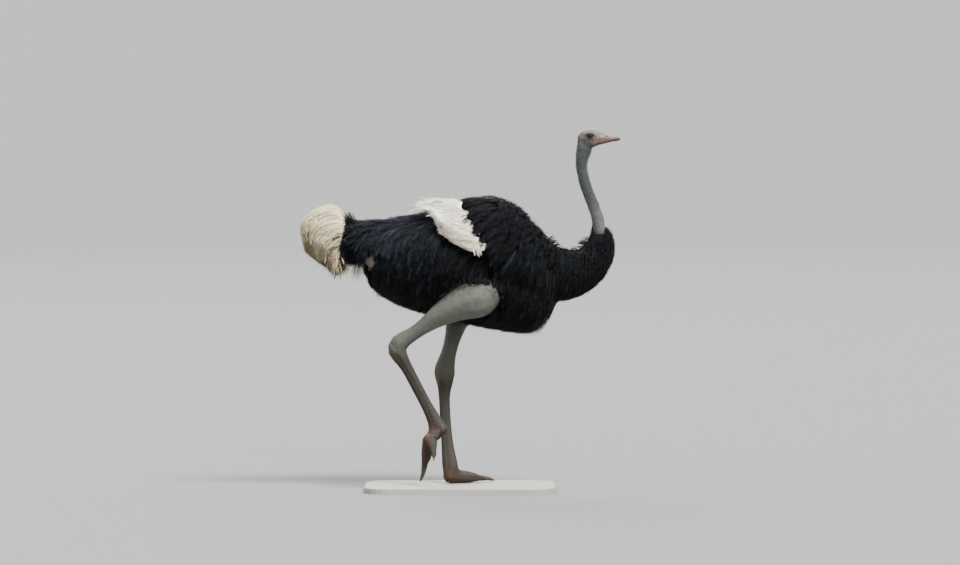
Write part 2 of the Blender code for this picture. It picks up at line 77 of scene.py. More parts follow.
EYE = centre_of("eye_left")
EYE_RADIUS = (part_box("eye_left")[1].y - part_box("eye_left")[0].y) / 2
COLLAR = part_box("neck")[0].z  # where the black feathers end on the neck
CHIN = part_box("bill_lower")[0].z
BILL_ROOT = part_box("bill_upper")[0].x
BILL_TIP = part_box("bill_upper")[1].x
TAIL_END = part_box("tail")[0].x
BASE_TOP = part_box("stand_base")[1].z

# Reading and writing meshes --------------------------------------------------------------


def smooth_step(low, high, value):
    share = np.clip((value - low) / (high - low), 0, 1)
    return share * share * (3 - 2 * share)


def unit(vectors):
    return vectors / np.maximum(np.linalg.norm(vectors, axis=-1, keepdims=True), 1e-9)


def along_surface(headings, normals):
    """The headings, turned to run along the surface."""
    return unit(headings - normals * np.sum(headings * normals, axis=1)[:, None])


def read_array(items, name, width, kind=np.float32):
    """One value of every item, in rows of that width."""
    flat = np.empty(len(items) * width, kind)
    items.foreach_get(name, flat)
    return flat.reshape(-1, width)


def points_of(mesh):
    return read_array(mesh.vertices, "co", 3).astype(float)


def normals_of(mesh):
    return read_array(mesh.vertex_normals, "vector", 3).astype(float)


def edges_of(mesh):
    return read_array(mesh.edges, "vertices", 2, np.int32)


def triangles_of(mesh):
    mesh.calc_loop_triangles()
    return read_array(mesh.loop_triangles, "vertices", 3, np.int32)


def set_points(mesh, points):
    mesh.vertices.foreach_set("co", points.astype(np.float32).ravel())
    mesh.update()


def neighbour_sums(values, edges):
    """The sum of its neighbours' values, for each point."""
    near, far = edges[:, 0], edges[:, 1]
    total = np.bincount(near, values[far], len(values))
    return total + np.bincount(far, values[near], len(values))


def relaxed(points, edges, times, weight):
    """Points drawn towards the middle of their neighbours, each by its own weight."""
    count = np.maximum(np.bincount(edges.ravel(), minlength=len(points)), 1)
    weight = np.broadcast_to(weight, len(points))
    for _ in range(times):
        for axis in range(3):
            line = points[:, axis]
            points[:, axis] = line + weight * (neighbour_sums(line, edges) / count - line)
    return points


def on_left(points):
    """The points with those of the right side mirrored to the left."""
    return np.stack((points[:, 0], np.abs(points[:, 1]), points[:, 2]), axis=1)


def spread(values, edges, times):
    """A value on each point, evened out over its neighbours."""
    count = np.bincount(edges.ravel(), minlength=len(values)) + 1
    for _ in range(times):
        values = (values + neighbour_sums(values, edges)) / count
    return values


def new_object(name, data):
    obj = bpy.data.objects.new(name, data)
    bpy.context.scene.collection.objects.link(obj)
    return obj


def bmesh_of(mesh):
    bm = bmesh.new()
    bm.from_mesh(mesh)
    return bm


def object_from(bm, name):
    mesh = bpy.data.meshes.new(name)
    bm.to_mesh(mesh)
    bm.free()
    return new_object(name, mesh)


def orderly(bm, name):
    """An object of the bmesh, with its points and faces in the same order in every run."""
    verts = sorted(bm.verts, key=lambda v: tuple(v.co))
    for index, vert in enumerate(verts):
        vert.index = index
    faces = []
    for face in bm.faces:
        corners = [v.index for v in face.verts]
        first = corners.index(min(corners))
        faces.append(corners[first:] + corners[:first])
    mesh = bpy.data.meshes.new(name)
    mesh.from_pydata([v.co[:] for v in verts], [], sorted(faces))
    bm.free()
    return new_object(name, mesh)


def settle(obj):
    """Applies the object's modifiers to its mesh."""
    graph = bpy.context.evaluated_depsgraph_get()
    mesh = bpy.data.meshes.new_from_object(obj.evaluated_get(graph))
    old = obj.data
    obj.modifiers.clear()
    obj.data = mesh
    mesh.name = obj.name
    if not old.users:
        bpy.data.meshes.remove(old)
    return obj


def narrow_tips(point):
    """The folded flight plumes taper towards their tips, under a flat upper edge."""
    top = 1.497
    taper = 0.06 * smooth_step(0.05, -0.05, point.x) + 0.40 * smooth_step(-0.08, -0.15, point.x)
    lowered = 0.026 * smooth_step(0.08, -0.14, point.x) * smooth_step(1.30, 1.45, point.z)
    point.z = top - (top - point.z) * (1 - taper) - lowered


def raise_vent(point):
    """Behind the belly the plumage ends high, under the root of the tail."""
    if point.x < -0.435:
        point.z = max(point.z, 1.035 + 0.113 * smooth_step(-0.435, -0.485, point.x))


def droop_mop(point):
    """The tail's plumes hang lowest in front, below the black ones."""
    low = smooth_step(1.27, 1.19, point.z)
    point.z -= 0.055 * low * smooth_step(-0.69, -0.61, point.x)
    point.x += 0.030 * low * smooth_step(-0.72, -0.60, point.x)


PLUME_CUTS = (0.05, 0.02, -0.02, -0.05, -0.08, -0.10, -0.115, -0.13, -0.15, -0.17)
MOP_CUTS = (-0.72, -0.69, -0.67, -0.65, -0.63, -0.61, -0.595, -0.58)
VENT_CUTS = (-0.435, -0.448, -0.46, -0.472, -0.485, -0.51, -0.54)
RESHAPED = {  # nodes whose soft outline is drawn finer here: how, and where they are cut first
    "wing_plumes_left": (narrow_tips, PLUME_CUTS), "wing_plumes_right": (narrow_tips, PLUME_CUTS),
    "trunk": (raise_vent, VENT_CUTS), "tail": (raise_vent, VENT_CUTS),
    "tail_plumes": (droop_mop, MOP_CUTS),
}


def bisect(bm, point, normal, **more):
    everything = bm.verts[:] + bm.edges[:] + bm.faces[:]
    bmesh.ops.bisect_plane(bm, geom=everything, plane_co=point, plane_no=normal, **more)


def welded(nodes):
    """A bmesh of the nodes' own surfaces, with the loose triangles joined up."""
    bm = bmesh.new()
    for node in nodes:
        part = bmesh_of(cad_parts[node].data)
        bmesh.ops.remove_doubles(part, verts=part.verts, dist=1e-5)
        if node in RESHAPED:
            reshape, cuts = RESHAPED[node]
            for x in cuts:
                bisect(part, (x, 0, 0), (1, 0, 0))
            for vert in part.verts:
                reshape(vert.co)
            bmesh.ops.triangulate(part, faces=part.faces)
        mesh = bpy.data.meshes.new(node + "_part")
        part.to_mesh(mesh)
        part.free()
        bm.from_mesh(mesh)
        bpy.data.meshes.remove(mesh)
    return bm


def cut_off(bm, point, normal):
    """Removes what lies on the side that normal points to, and closes the cut."""
    bisect(bm, point, normal, clear_outer=True)
    rim = [edge for edge in bm.edges if edge.is_boundary]
    bmesh.ops.holes_fill(bm, edges=rim, sides=0)
    bmesh.ops.recalc_face_normals(bm, faces=bm.faces)


def recast(obj, voxel):
    """Closes every joint in the object's mesh, on an even net of that size."""
    net = obj.modifiers.new("Net", "REMESH")
    net.mode = "VOXEL"
    net.voxel_size = voxel
    return settle(obj)


def smoothed(name, nodes, voxel, times):
    """The nodes on one even net, with their facets smoothed away: the object and its points."""
    obj = recast(object_from(welded(nodes), name), voxel)
    points = relaxed(points_of(obj.data), edges_of(obj.data), times, 0.5)
    set_points(obj.data, points)
    return obj, points


def combine(obj, other, operation):
    """Adds the other object to this one or cuts it out of it, and uses it up."""
    boolean = obj.modifiers.new(operation.title(), "BOOLEAN")
    boolean.operation = operation
    boolean.solver = "MANIFOLD"
    boolean.object = other
    settle(obj)
    bpy.data.objects.remove(other, do_unlink=True)


def tree_from(bm):
    """A tree of the bmesh's faces, to find the nearest places on them. Frees the bmesh."""
    tree = BVHTree.FromBMesh(bm)
    bm.free()
    return tree


def tree_of(nodes):
    return tree_from(welded(nodes))


def surface_of(bm):
    """The bmesh's tree, points and triangles. Frees the bmesh."""
    bmesh.ops.triangulate(bm, faces=bm.faces)
    tree = BVHTree.FromBMesh(bm)  # numbers the points, too
    points = np.array([v.co for v in bm.verts])
    faces = np.array([[v.index for v in face.verts] for face in bm.faces])
    bm.free()
    return tree, points, faces


def nearest(tree, points):
    """Places on the tree's surface nearest to the points, with its normals and distances."""
    places = np.empty((len(points), 3))
    normals = np.empty((len(points), 3))
    gaps = np.empty(len(points))
    for i, point in enumerate(points):
        place, normal, _, gap = tree.find_nearest(point)
        places[i], normals[i], gaps[i] = place, normal, gap
    return places, normals, gaps


def height_over(tree, points):
    """How far each point lies outside what the tree holds, and less than nought inside it."""
    places, normals, gaps = nearest(tree, points)
    return np.where(np.sum((points - places) * normals, axis=1) > 0, gaps, -gaps)


def finish_piece(obj, slot, material, replaced=()):
    """Gives the piece its material and its body. Its slot is not used."""
    obj.data.materials.clear()
    obj.data.materials.append(material)
    obj.data.shade_smooth()
    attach(obj, "root")
    if replaced:
        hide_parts(*replaced)
    return obj


# Materials -------------------------------------------------------------------------------


def add_node(tree, kind, vector=None, **values):
    """A new shader node with those values at its inputs, and a vector led into it."""
    node = tree.nodes.new("ShaderNode" + kind)
    for label, value in values.items():
        node.inputs[label].default_value = value
    if vector is not None:
        tree.links.new(vector, node.inputs["Vector"])
    return node


def maths(tree, operation, first, second=0.5):
    node = add_node(tree, "Math")
    node.operation = operation
    for socket, value in zip(node.inputs, (first, second)):
        if isinstance(value, (int, float)):
            socket.default_value = value
        else:
            tree.links.new(value, socket)
    return node.outputs[0]


def scaled(tree, colour, factor):
    node = add_node(tree, "VectorMath")
    node.operation = "SCALE"
    tree.links.new(colour, node.inputs[0])
    tree.links.new(factor, node.inputs["Scale"])
    return node.outputs[0]


def add_ramp(tree, factor, stops):
    """Colours between those stops, each a place and its colour."""
    ramp = add_node(tree, "ValToRGB")
    elements = ramp.color_ramp.elements
    while len(elements) < len(stops):
        elements.new(0.5)
    for element, (place, colour) in zip(elements, stops):
        element.position = place
        element.color = (*colour, 1)
    tree.links.new(factor, ramp.inputs["Fac"])
    return ramp.outputs["Color"]


def mottle_group():
    """A node group of soft uneven colour: it makes a colour darker and paler in patches."""
    found = bpy.data.node_groups.get("mottle")
    if found:
        return found
    group = bpy.data.node_groups.new("mottle", "ShaderNodeTree")
    for label, kind, way in (
        ("Vector", "Vector", "INPUT"), ("Scale", "Float", "INPUT"), ("Amount", "Float", "INPUT"),
        ("Colour", "Color", "INPUT"), ("Colour", "Color", "OUTPUT"), ("Mask", "Float", "OUTPUT"),
    ):
        group.interface.new_socket(label, in_out=way, socket_type="NodeSocket" + kind)
    given = group.nodes.new("NodeGroupInput").outputs
    made = group.nodes.new("NodeGroupOutput").inputs
    noise = add_node(group, "TexNoise", given["Vector"], Detail=5.0)
    group.links.new(given["Scale"], noise.inputs["Scale"])
    doubled = maths(group, "MULTIPLY", maths(group, "SUBTRACT", noise.outputs["Fac"], 0.5), 2.0)
    factor = maths(group, "ADD", maths(group, "MULTIPLY", doubled, given["Amount"]), 1.0)
    group.links.new(scaled(group, given["Colour"], factor), made["Colour"])
    group.links.new(noise.outputs["Fac"], made["Mask"])
    return group


def new_material(name, roughness, more=()):
    material = bpy.data.materials.new(name)
    material.use_nodes = True
    shader = material.node_tree.nodes["Principled BSDF"]
    for label, value in (("Roughness", roughness), *more):
        shader.inputs[label].default_value = value
    return material, material.node_tree, shader


def attribute(tree, name):
    node = add_node(tree, "Attribute")
    node.attribute_name = name
    return node


def object_place(tree):
    return add_node(tree, "TexCoord").outputs["Object"]


def add_mottle(tree, colour, place, scale, amount):
    """Mottles the colour, a constant one or a socket. Returns the node."""
    group = add_node(tree, "Group")
    group.node_tree = mottle_group()
    group.inputs["Scale"].default_value = scale
    group.inputs["Amount"].default_value = amount
    tree.links.new(place, group.inputs["Vector"])
    if isinstance(colour, tuple):
        group.inputs["Colour"].default_value = (*colour, 1)
    else:
        tree.links.new(colour, group.inputs["Colour"])
    return group


def add_bump(tree, shader, height, strength, distance):
    bump = add_node(tree, "Bump", Strength=strength, Distance=distance)
    tree.links.new(height, bump.inputs["Height"])
    tree.links.new(bump.outputs["Normal"], shader.inputs["Normal"])


def plumage_material(name, deep, pale, roughness, sheen):
    """Feather: the attribute `tint` runs from the deep colour to the pale one."""
    material, tree, shader = new_material(name, roughness, (
        ("Specular IOR Level", 0.10), ("Sheen Weight", sheen), ("Sheen Roughness", 0.5),
    ))
    blend = add_node(tree, "Mix")
    blend.data_type = "RGBA"
    blend.inputs[6].default_value = (*deep, 1)
    blend.inputs[7].default_value = (*pale, 1)
    tree.links.new(attribute(tree, "tint").outputs["Fac"], blend.inputs[0])
    soft = add_mottle(tree, blend.outputs[2], object_place(tree), 24.0, 0.16)
    tree.links.new(soft.outputs["Colour"], shader.inputs["Base Color"])
    return material


def skin_material():
    """Skin: its colour is painted on the points, with pores, stipples, scales and creases.

    The painted colour's alpha is 1 on bare skin and 0 under the feathers.
    """
    material, tree, shader = new_material("ostrich_skin", 0.62)
    place = object_place(tree)
    painted = attribute(tree, "skin_colour")
    gloss = maths(tree, "MULTIPLY", painted.outputs["Alpha"], 0.30)
    tree.links.new(gloss, shader.inputs["Specular IOR Level"])
    soft = add_mottle(tree, painted.outputs["Color"], place, 34.0, 0.30)
    fine = add_mottle(tree, soft.outputs["Colour"], place, 260.0, 0.20)
    follicles = add_node(tree, "TexVoronoi", place, Scale=105.0, Randomness=0.85)
    near = maths(tree, "SUBTRACT", 0.42, follicles.outputs["Distance"])
    dots = maths(tree, "MULTIPLY", maths(tree, "MAXIMUM", near, 0.0), 2.4)
    dots = maths(tree, "MULTIPLY", dots, attribute(tree, "stipple").outputs["Fac"])
    lighter = maths(tree, "ADD", maths(tree, "MULTIPLY", dots, 0.34), 1.0)
    colour = scaled(tree, fine.outputs["Colour"], lighter)
    tree.links.new(colour, shader.inputs["Base Color"])
    cells = add_node(tree, "TexVoronoi", place, Scale=300.0)
    cells.feature = "DISTANCE_TO_EDGE"
    grooves = maths(tree, "MINIMUM", cells.outputs["Distance"], 0.14)
    scaly = maths(tree, "MULTIPLY", grooves, attribute(tree, "scaliness").outputs["Fac"])
    pores = maths(tree, "MULTIPLY", fine.outputs["Mask"], 0.06)
    bumps = maths(tree, "MULTIPLY", dots, 0.22)
    height = maths(tree, "ADD", maths(tree, "ADD", scaly, pores), bumps)
    add_bump(tree, shader, height, 0.8, 0.004)
    return material


def claw_material():
    """Dark horn with streaks along it."""
    material, tree, shader = new_material("claw_horn_fine", 0.40)
    stretch = add_node(tree, "Mapping", object_place(tree), Scale=(40, 220, 220))
    streaks = add_node(tree, "TexNoise", stretch.outputs["Vector"], Scale=1.0, Detail=4.0)
    stops = ((0.35, paint(0.085, 0.06, 0.045)), (0.62, paint(0.17, 0.115, 0.075)))
    colour = add_ramp(tree, streaks.outputs["Fac"], stops)
    tree.links.new(colour, shader.inputs["Base Color"])
    add_bump(tree, shader, streaks.outputs["Fac"], 0.35, 0.001)
    return material


def bill_material():
    """Horn whose colour is painted on the points, with fine streaks over it."""
    material, tree, shader = new_material("bill_horn_fine", 0.48, (("Specular IOR Level", 0.28),))
    painted = attribute(tree, "skin_colour").outputs["Color"]
    soft = add_mottle(tree, painted, object_place(tree), 160.0, 0.22)
    tree.links.new(soft.outputs["Colour"], shader.inputs["Base Color"])
    add_bump(tree, shader, soft.outputs["Mask"], 0.4, 0.0012)
    return material


# The plumes ------------------------------------------------------------------------------


class Coat:
    """Gathers closed strands and vanes, and turns them into one mesh."""

    def __init__(self, centre):
        self.centre = np.array(centre)
        self.points, self.faces, self.patches, self.tints = [], [], [], []
        self.size = 0

    def unwrap(self, roots):
        """Each root's place on the skin's own unwrap, round the body's long axis."""
        reach = roots - self.centre
        turn = np.arctan2(reach[:, 2], reach[:, 1]) / math.tau + 0.5
        rise = np.arccos(np.clip(unit(reach)[:, 0], -1, 1)) / math.pi
        return 0.004 + 0.992 * np.stack((turn, rise), axis=1)

    def add(self, points, faces, roots, offsets, tints):
        """points (n, m, 3) are n like bodies with the same faces (f, 3) each."""
        n, m = points.shape[:2]
        steps = (np.arange(n) * m)[:, None, None] + self.size
        self.points.append(points.reshape(-1, 3))
        self.faces.append((faces[None] + steps).reshape(-1, 3))
        patch = self.unwrap(roots)[:, None, :] + offsets[None]
        self.patches.append(patch.reshape(-1, 2))
        self.tints.append(tints.reshape(-1))
        self.size += n * m

    def to_object(self, name):
        points = np.concatenate(self.points)
        faces = np.concatenate(self.faces).astype(np.int32)
        patches = np.concatenate(self.patches).astype(np.float32)
        mesh = bpy.data.meshes.new(name)
        mesh.vertices.add(len(points))
        mesh.vertices.foreach_set("co", points.astype(np.float32).ravel())
        mesh.loops.add(faces.size)
        mesh.loops.foreach_set("vertex_index", faces.ravel())
        mesh.polygons.add(len(faces))
        mesh.polygons.foreach_set("loop_start", np.arange(len(faces), dtype=np.int32) * 3)
        mesh.update(calc_edges=True)
        unwrapped = mesh.uv_layers.new(name="OFBake")
        unwrapped.data.foreach_set("uv", patches[faces.ravel()].ravel())
        paint_points(mesh, {"tint": np.concatenate(self.tints)})
        return new_object(name, mesh)


PATCH = 0.0015  # half the size of one tuft's patch on the unwrap
STRAND_FACES = np.array([(0, 1, 2), (0, 2, 3), (0, 3, 1), (4, 2, 1), (4, 3, 2), (4, 1, 3)])
STRAND_OFFSETS = PATCH * np.array([(0, -1), (-1, 0), (1, 0), (0, 0), (0, 1)])


def add_strands(coat, base, middle, tip, up, width, thickness, tint_base, tint_tip):
    """Strands pointed at both ends and three-cornered in the middle, where they bend."""
    along = unit(tip - base)
    side = unit(np.cross(along, up))
    across = side * width[:, None]
    crest = np.cross(side, along) * thickness[:, None]
    points = np.stack((base, middle - across, middle + across, middle + crest, tip), axis=1)
    half = (tint_base + tint_tip) / 2
    tints = np.stack((tint_base, half, half, half, tint_tip), axis=1)
    coat.add(points, STRAND_FACES, base, STRAND_OFFSETS, tints)


def vane_faces(rings):
    """Faces of a lens of four-cornered rings that closes to a point at its tip."""
    faces = [(0, 1, 2), (0, 2, 3)]
    for k in range(rings - 2):
        for i in range(4):
            j = (i + 1) % 4
            a, b = 4 * k + i, 4 * k + j
            faces += [(a, a + 4, b + 4), (a, b + 4, b)]
    last, tip = 4 * (rings - 2), 4 * (rings - 1)
    faces += [(last + i, tip, last + (i + 1) % 4) for i in range(4)]
    return np.array(faces)


def add_vanes(coat, spine, across, up, half_width, thickness, tint):
    """The soft web of each plume, a thin lens along its spine."""
    n, rings = spine.shape[:2]
    share = np.linspace(0, 1, rings)
    outline = 0.35 + 0.65 * np.sin(math.pi * share ** 0.8)
    width = (half_width[:, None] * outline)[:, :, None]
    body = spine[:, :-1]
    side = across[:, :-1] * width[:, :-1]
    crest = up[:, :-1] * thickness
    points = np.stack((body - side, body - crest, body + side, body + crest), axis=2)
    points = points.reshape(n, -1, 3)
    points = np.concatenate((points, spine[:, -1:]), axis=1)
    faces = vane_faces(rings)
    offsets = PATCH * np.array(
        [(x, 2 * k / (rings - 1) - 1) for k in range(rings - 1) for x in (-1, 0, 1, 0)] + [(0, 1)]
    )
    tints = np.repeat(tint[:, None], points.shape[1], axis=1)
    coat.add(points, faces, spine[:, 0], offsets, tints)


NEIGHBOURS = tuple(itertools.product((-1, 0, 1), repeat=3))


def scatter(tree_points, tree_faces, spacing, rng, keep=None):
    """Roots evenly strewn over a surface, no two nearer to each other than the spacing."""
    corners = tree_points[tree_faces]
    cross = np.cross(corners[:, 1] - corners[:, 0], corners[:, 2] - corners[:, 0])
    area = np.linalg.norm(cross, axis=1) / 2
    tries = int(8 * area.sum() / spacing ** 2)
    picked = rng.choice(len(area), tries, p=area / area.sum())
    a, b = rng.random((2, tries))
    flip = a + b > 1
    a[flip], b[flip] = 1 - a[flip], 1 - b[flip]
    tri = corners[picked]
    a, b = a[:, None], b[:, None]
    points = tri[:, 0] + a * (tri[:, 1] - tri[:, 0]) + b * (tri[:, 2] - tri[:, 0])
    if keep:
        points = points[keep(points)]
    cells = {}
    chosen = []
    for index, point in enumerate(points):
        x, y, z = (point // spacing).astype(int)
        close = False
        for dx, dy, dz in NEIGHBOURS:
            for other in cells.get((x + dx, y + dy, z + dz), ()):
                gap = points[other] - point
                close = close or gap @ gap < spacing * spacing
        if not close:
            cells.setdefault((x, y, z), []).append(index)
            chosen.append(index)
    return points[chosen]


@dataclass
class Lay:
    """How one kind of plume is laid: its size, its barbs and the way that it lies."""

    spacing: float
    length: float
    barb: float  # length of its longest barbs
    barbs: int  # on each side
    barb_width: float = 0.0011
    web: float = 0.005  # half the width of the close web along the shaft
    depth: float = 0.018  # of its root under the coat's surface
    proud: float = 0.0  # of its tip over that surface
    free: float = 0.12  # how far it runs on past an edge
    curl: float = 0.014  # how far some tips rise further
    sag: float = 0.10  # how far the barbs' tips hang
    wander: float = 0.16  # how far it turns from the flow
    spread: float = 40  # angle of the barbs to the shaft, in degrees
    fluff: float = 0.10  # how far the barbs rise and fall beside it
    rings: int = 6  # places along its spine
    tint: tuple = (0.0, 0.6)
    odd: float = 0.0  # share of much paler plumes


def lay_plumes(coat, roots, tree, flow, reach, lay, rng, tone=0.0):
    """Lays one plume from each root along the surface, the way that flow points there.

    `reach` gives each plume's share of the full length, `flow` the heading at each place
    from its position and its surface normal, and `tone` how much paler each plume is.
    """
    n, rings = len(roots), lay.rings
    if n == 0:
        return
    length = lay.length * reach * rng.uniform(0.80, 1.15, n)
    step = (length / (rings - 1))[:, None]
    turn = rng.normal(0, lay.wander, n)
    place, normal, _ = nearest(tree, roots)
    heading = flow(place, normal)
    spine = np.empty((n, rings, 3))
    ups = np.empty((n, rings, 3))
    depth = lay.depth * np.minimum(1, 0.3 + reach)
    lifted = lay.proud + 0.003 * rng.random(n) + lay.curl * rng.random(n) ** 3
    for k in range(rings):
        share = k / (rings - 1)
        heading = along_surface(heading, normal)
        turned = unit(heading + np.cross(normal, heading) * turn[:, None] * (1 - 0.5 * share))
        height = -depth * (1 - share) ** 2 + lifted * share ** 2
        spine[:, k] = place + normal * height[:, None]
        ups[:, k] = normal
        if k < rings - 1:
            stepped = place + turned * step
            ahead, facing, _ = nearest(tree, stepped)
            outside = np.sum((stepped - ahead) * facing, axis=1) > 0.25 * step[:, 0]
            drawn_back = np.sum((ahead - place) * turned, axis=1) < 0.55 * step[:, 0]
            free = (outside & drawn_back)[:, None]
            place = np.where(free, place + lay.free * turned * step, ahead)
            normal = np.where(free, normal, facing)
            heading = unit(0.55 * heading + 0.45 * flow(place, normal))
    light = lay.tint[0] + (lay.tint[1] - lay.tint[0]) * rng.beta(2, 4, n) + tone
    light = np.where(rng.random(n) < lay.odd, light + 0.5, light)
    dress(coat, spine, ups, np.clip(light, 0, 1), np.sqrt(reach), lay, rng)


def dress(coat, spine, ups, light, scale, lay, rng):
    """Gives each spine its close web and its two rows of loose barbs."""
    n, rings = spine.shape[:2]
    tangent = unit(np.gradient(spine, axis=1))
    across = unit(np.cross(ups, tangent))
    up = np.cross(tangent, across)
    add_vanes(coat, spine, across, up, lay.web * scale, 0.0009, light * 0.8)
    count = lay.barbs
    rows = np.arange(n)[:, None]
    for sign in (1, -1):
        where = (np.arange(count) + rng.random((n, count))) / count
        where = np.clip(where, 0.02, 0.99)
        index = np.minimum((where * (rings - 1)).astype(int), rings - 2)
        part = (where * (rings - 1) - index)[..., None]

        def along_spine(values):
            return values[rows, index] * (1 - part) + values[rows, index + 1] * part

        base = along_spine(spine)
        ahead = unit(along_spine(tangent))
        out = unit(along_spine(across)) * sign
        above = unit(along_spine(up))
        angle = np.radians(lay.spread * (1.1 - 0.75 * where) + rng.normal(0, 8, where.shape))
        outline = np.sqrt(np.clip(1 - np.abs(1.6 * where - 0.75) ** 3, 0.12, 1))
        size = lay.barb * scale[:, None] * outline * rng.uniform(0.7, 1.25, where.shape)
        size = size[..., None]
        rise = above * rng.normal(0.3 * lay.fluff, lay.fluff, where.shape)[..., None]
        lean = angle[..., None]
        first = ahead * np.cos(lean) + out * np.sin(lean) + rise
        lean = lean * 0.35 + rng.normal(0, 0.10, where.shape)[..., None]
        second = ahead * np.cos(lean) + out * np.sin(lean) + 0.6 * rise + DOWN * lay.sag
        middle = base + first * size * 0.5
        tip = middle + second * size * 0.5
        thick = lay.barb_width * rng.uniform(0.6, 1.15, where.shape)
        tone = np.clip(light[:, None] + rng.normal(0, 0.12, where.shape), 0, 1)
        flat = [values.reshape(-1, 3) for values in (base, middle, tip, above)]
        add_strands(
            coat, *flat, thick.ravel(), 0.6 * thick.ravel(), 0.6 * tone.ravel(), tone.ravel()
        )


def shell_of(nodes, voxel, times):
    """The outer surface of some nodes, without the cuts between them: tree, points, faces."""
    obj, points = smoothed("shell", nodes, voxel, times)
    tree, _, faces = surface_of(bmesh_of(obj.data))
    bpy.data.objects.remove(obj, do_unlink=True)
    return tree, points, faces


# The skin --------------------------------------------------------------------------------


def paint(red, green, blue):
    """A colour given as it looks on a screen, as linear light."""
    return tuple(
        c / 12.92 if c <= 0.04045 else ((c + 0.055) / 1.055) ** 2.4 for c in (red, green, blue)
    )


NECK_GREY = paint(0.088, 0.103, 0.107)
# Pale grey of the lower neck, also used for painted rim light at throat and nape.
PALE_NECK_AND_RIM_LIGHT = paint(0.255, 0.27, 0.245)
CROWN_PALE = paint(0.305, 0.315, 0.29)
LORE_GREY = paint(0.138, 0.138, 0.130)
SOCKET_PURPLE_AND_SHADE = paint(0.125, 0.110, 0.16)
EYELID_DARK = paint(0.06, 0.05, 0.065)
GAPE_PINK = paint(0.38, 0.25, 0.23)
THIGH_GREY = paint(0.272, 0.272, 0.245)
HOCK_GREY = paint(0.225, 0.225, 0.200)
SHANK_GREY = paint(0.122, 0.106, 0.074)
SCUTE_BROWN = paint(0.145, 0.115, 0.072)
# Dark of the seams between plates, also painted shade in the mouth line and the nostril.
DARK_SEAM_AND_SHADE = paint(0.10, 0.08, 0.06)
HEEL_ORANGE = paint(0.35, 0.23, 0.105)
TOE_BROWN = paint(0.10, 0.080, 0.038)
SOLE_BROWN = paint(0.20, 0.11, 0.045)
DOWN_BLACK = paint(0.03, 0.03, 0.032)
VENT_MAUVE = paint(0.36, 0.32, 0.31)
BILL_PINK = paint(0.295, 0.185, 0.178)
BILL_PALE = paint(0.33, 0.325, 0.215)
BILL_TIP_BROWN = paint(0.07, 0.060, 0.018)
HEM_SHADE_AND_BROWN = paint(0.13, 0.11, 0.09)

BLACK_NODES = ("trunk", "tail", "neck_ruff", "wing_left", "wing_right")
THIGHS = ("thigh_left", "thigh_right")
WHITE_WINGS = ("wing_plumes_left", "wing_plumes_right")
LEG_PARTS = ("thigh_", "shank_", "toe_inner_", "toe_outer_")
LEG_NODES = [part + name for name, _ in SIDES for part in LEG_PARTS]
VENT = Vector((-0.456, 0, 1.166))  # middle of the bare patch under the tail
CORE_NET = 0.012  # size of the net under the feathers
COLLAR_POINT = Vector((0.704, 0, COLLAR))
NECK_DIRECTION = Vector((0.29, 0, 0.957))  # of the neck's spine where it leaves the ruff
LID_OPENING = (0.0150, 0.0098)  # half length and half height of the almond between the lids
LID_THICKNESS = 0.0014
EAR = (EYE.x - 0.033, 0.040, EYE.z - 0.027)
HEAD_MIDDLE = (0.62, 0, 1.74)
SHANK_PITCH = 0.0145  # from one plate to the next, down the front of the shank
TOE_PITCH = 0.0115


def mix(first, second, share):
    """Rows blended one by one. share has one value for each row."""
    return first + (np.asarray(second) - first) * share[:, None]


def waves(points, length, rng, count=7):
    """A smooth uneven height between about -1 and 1 that varies over that length."""
    total = np.zeros(len(points))
    for _ in range(count):
        heading = unit(rng.normal(size=3))
        pace = math.tau / (length * rng.uniform(0.7, 1.5))
        total += np.sin(points @ heading * pace + rng.uniform(0, math.tau))
    return total / math.sqrt(count)


def thickness_behind(mesh, points, normals, most=0.3):
    """How thick the body is behind each point, up to a most."""
    tree = tree_from(bmesh_of(mesh))
    depth = np.full(len(points), most)
    for i, (point, normal) in enumerate(zip(points, normals)):
        place, _, _, gap = tree.ray_cast(point - normal * 0.003, -normal, most)
        if place is not None:
            depth[i] = gap
    return depth


def body_core(coat_depth):
    """The flesh under the feathers: the plumage's shape, drawn in by the coat's depth."""
    core, points = smoothed("core", BLACK_NODES + THIGHS, CORE_NET, 12)
    mesh = core.data
    edges = edges_of(mesh)
    normals = normals_of(mesh)
    gap_bare = nearest(tree_of(THIGHS), points)[2]
    gap_feathered = nearest(tree_of(BLACK_NODES), points)[2]
    depth = np.where(gap_bare < gap_feathered, 0.014, coat_depth)
    neck = (points - np.array(COLLAR_POINT)) @ np.array(NECK_DIRECTION)
    on_neck = smooth_step(-0.16, -0.06, neck) * smooth_step(0.5, 0.6, points[:, 0])
    at_ruff = smooth_step(0.46, 0.56, points[:, 0])
    at_vent = hump(points[:, 0], VENT.x, 0.05) * hump(points[:, 2], VENT.z, 0.06)
    depth = depth * (1 - 0.74 * at_ruff) + 0.003 * on_neck
    depth *= 1 - 0.45 * parting(points, normals)
    depth *= 1 - 0.70 * at_vent
    depth = np.minimum(depth, 0.3 * thickness_behind(mesh, points, normals))
    depth = spread(depth, edges, 6)
    points = relaxed(points - normals * depth[:, None], edges, 4, 0.5)
    set_points(mesh, points)
    return recast(core, CORE_NET)


def arc_radius(length, height):
    """Radius of the arcs of an almond with that half length and half height."""
    return (length * length + height * height) / (2 * height)


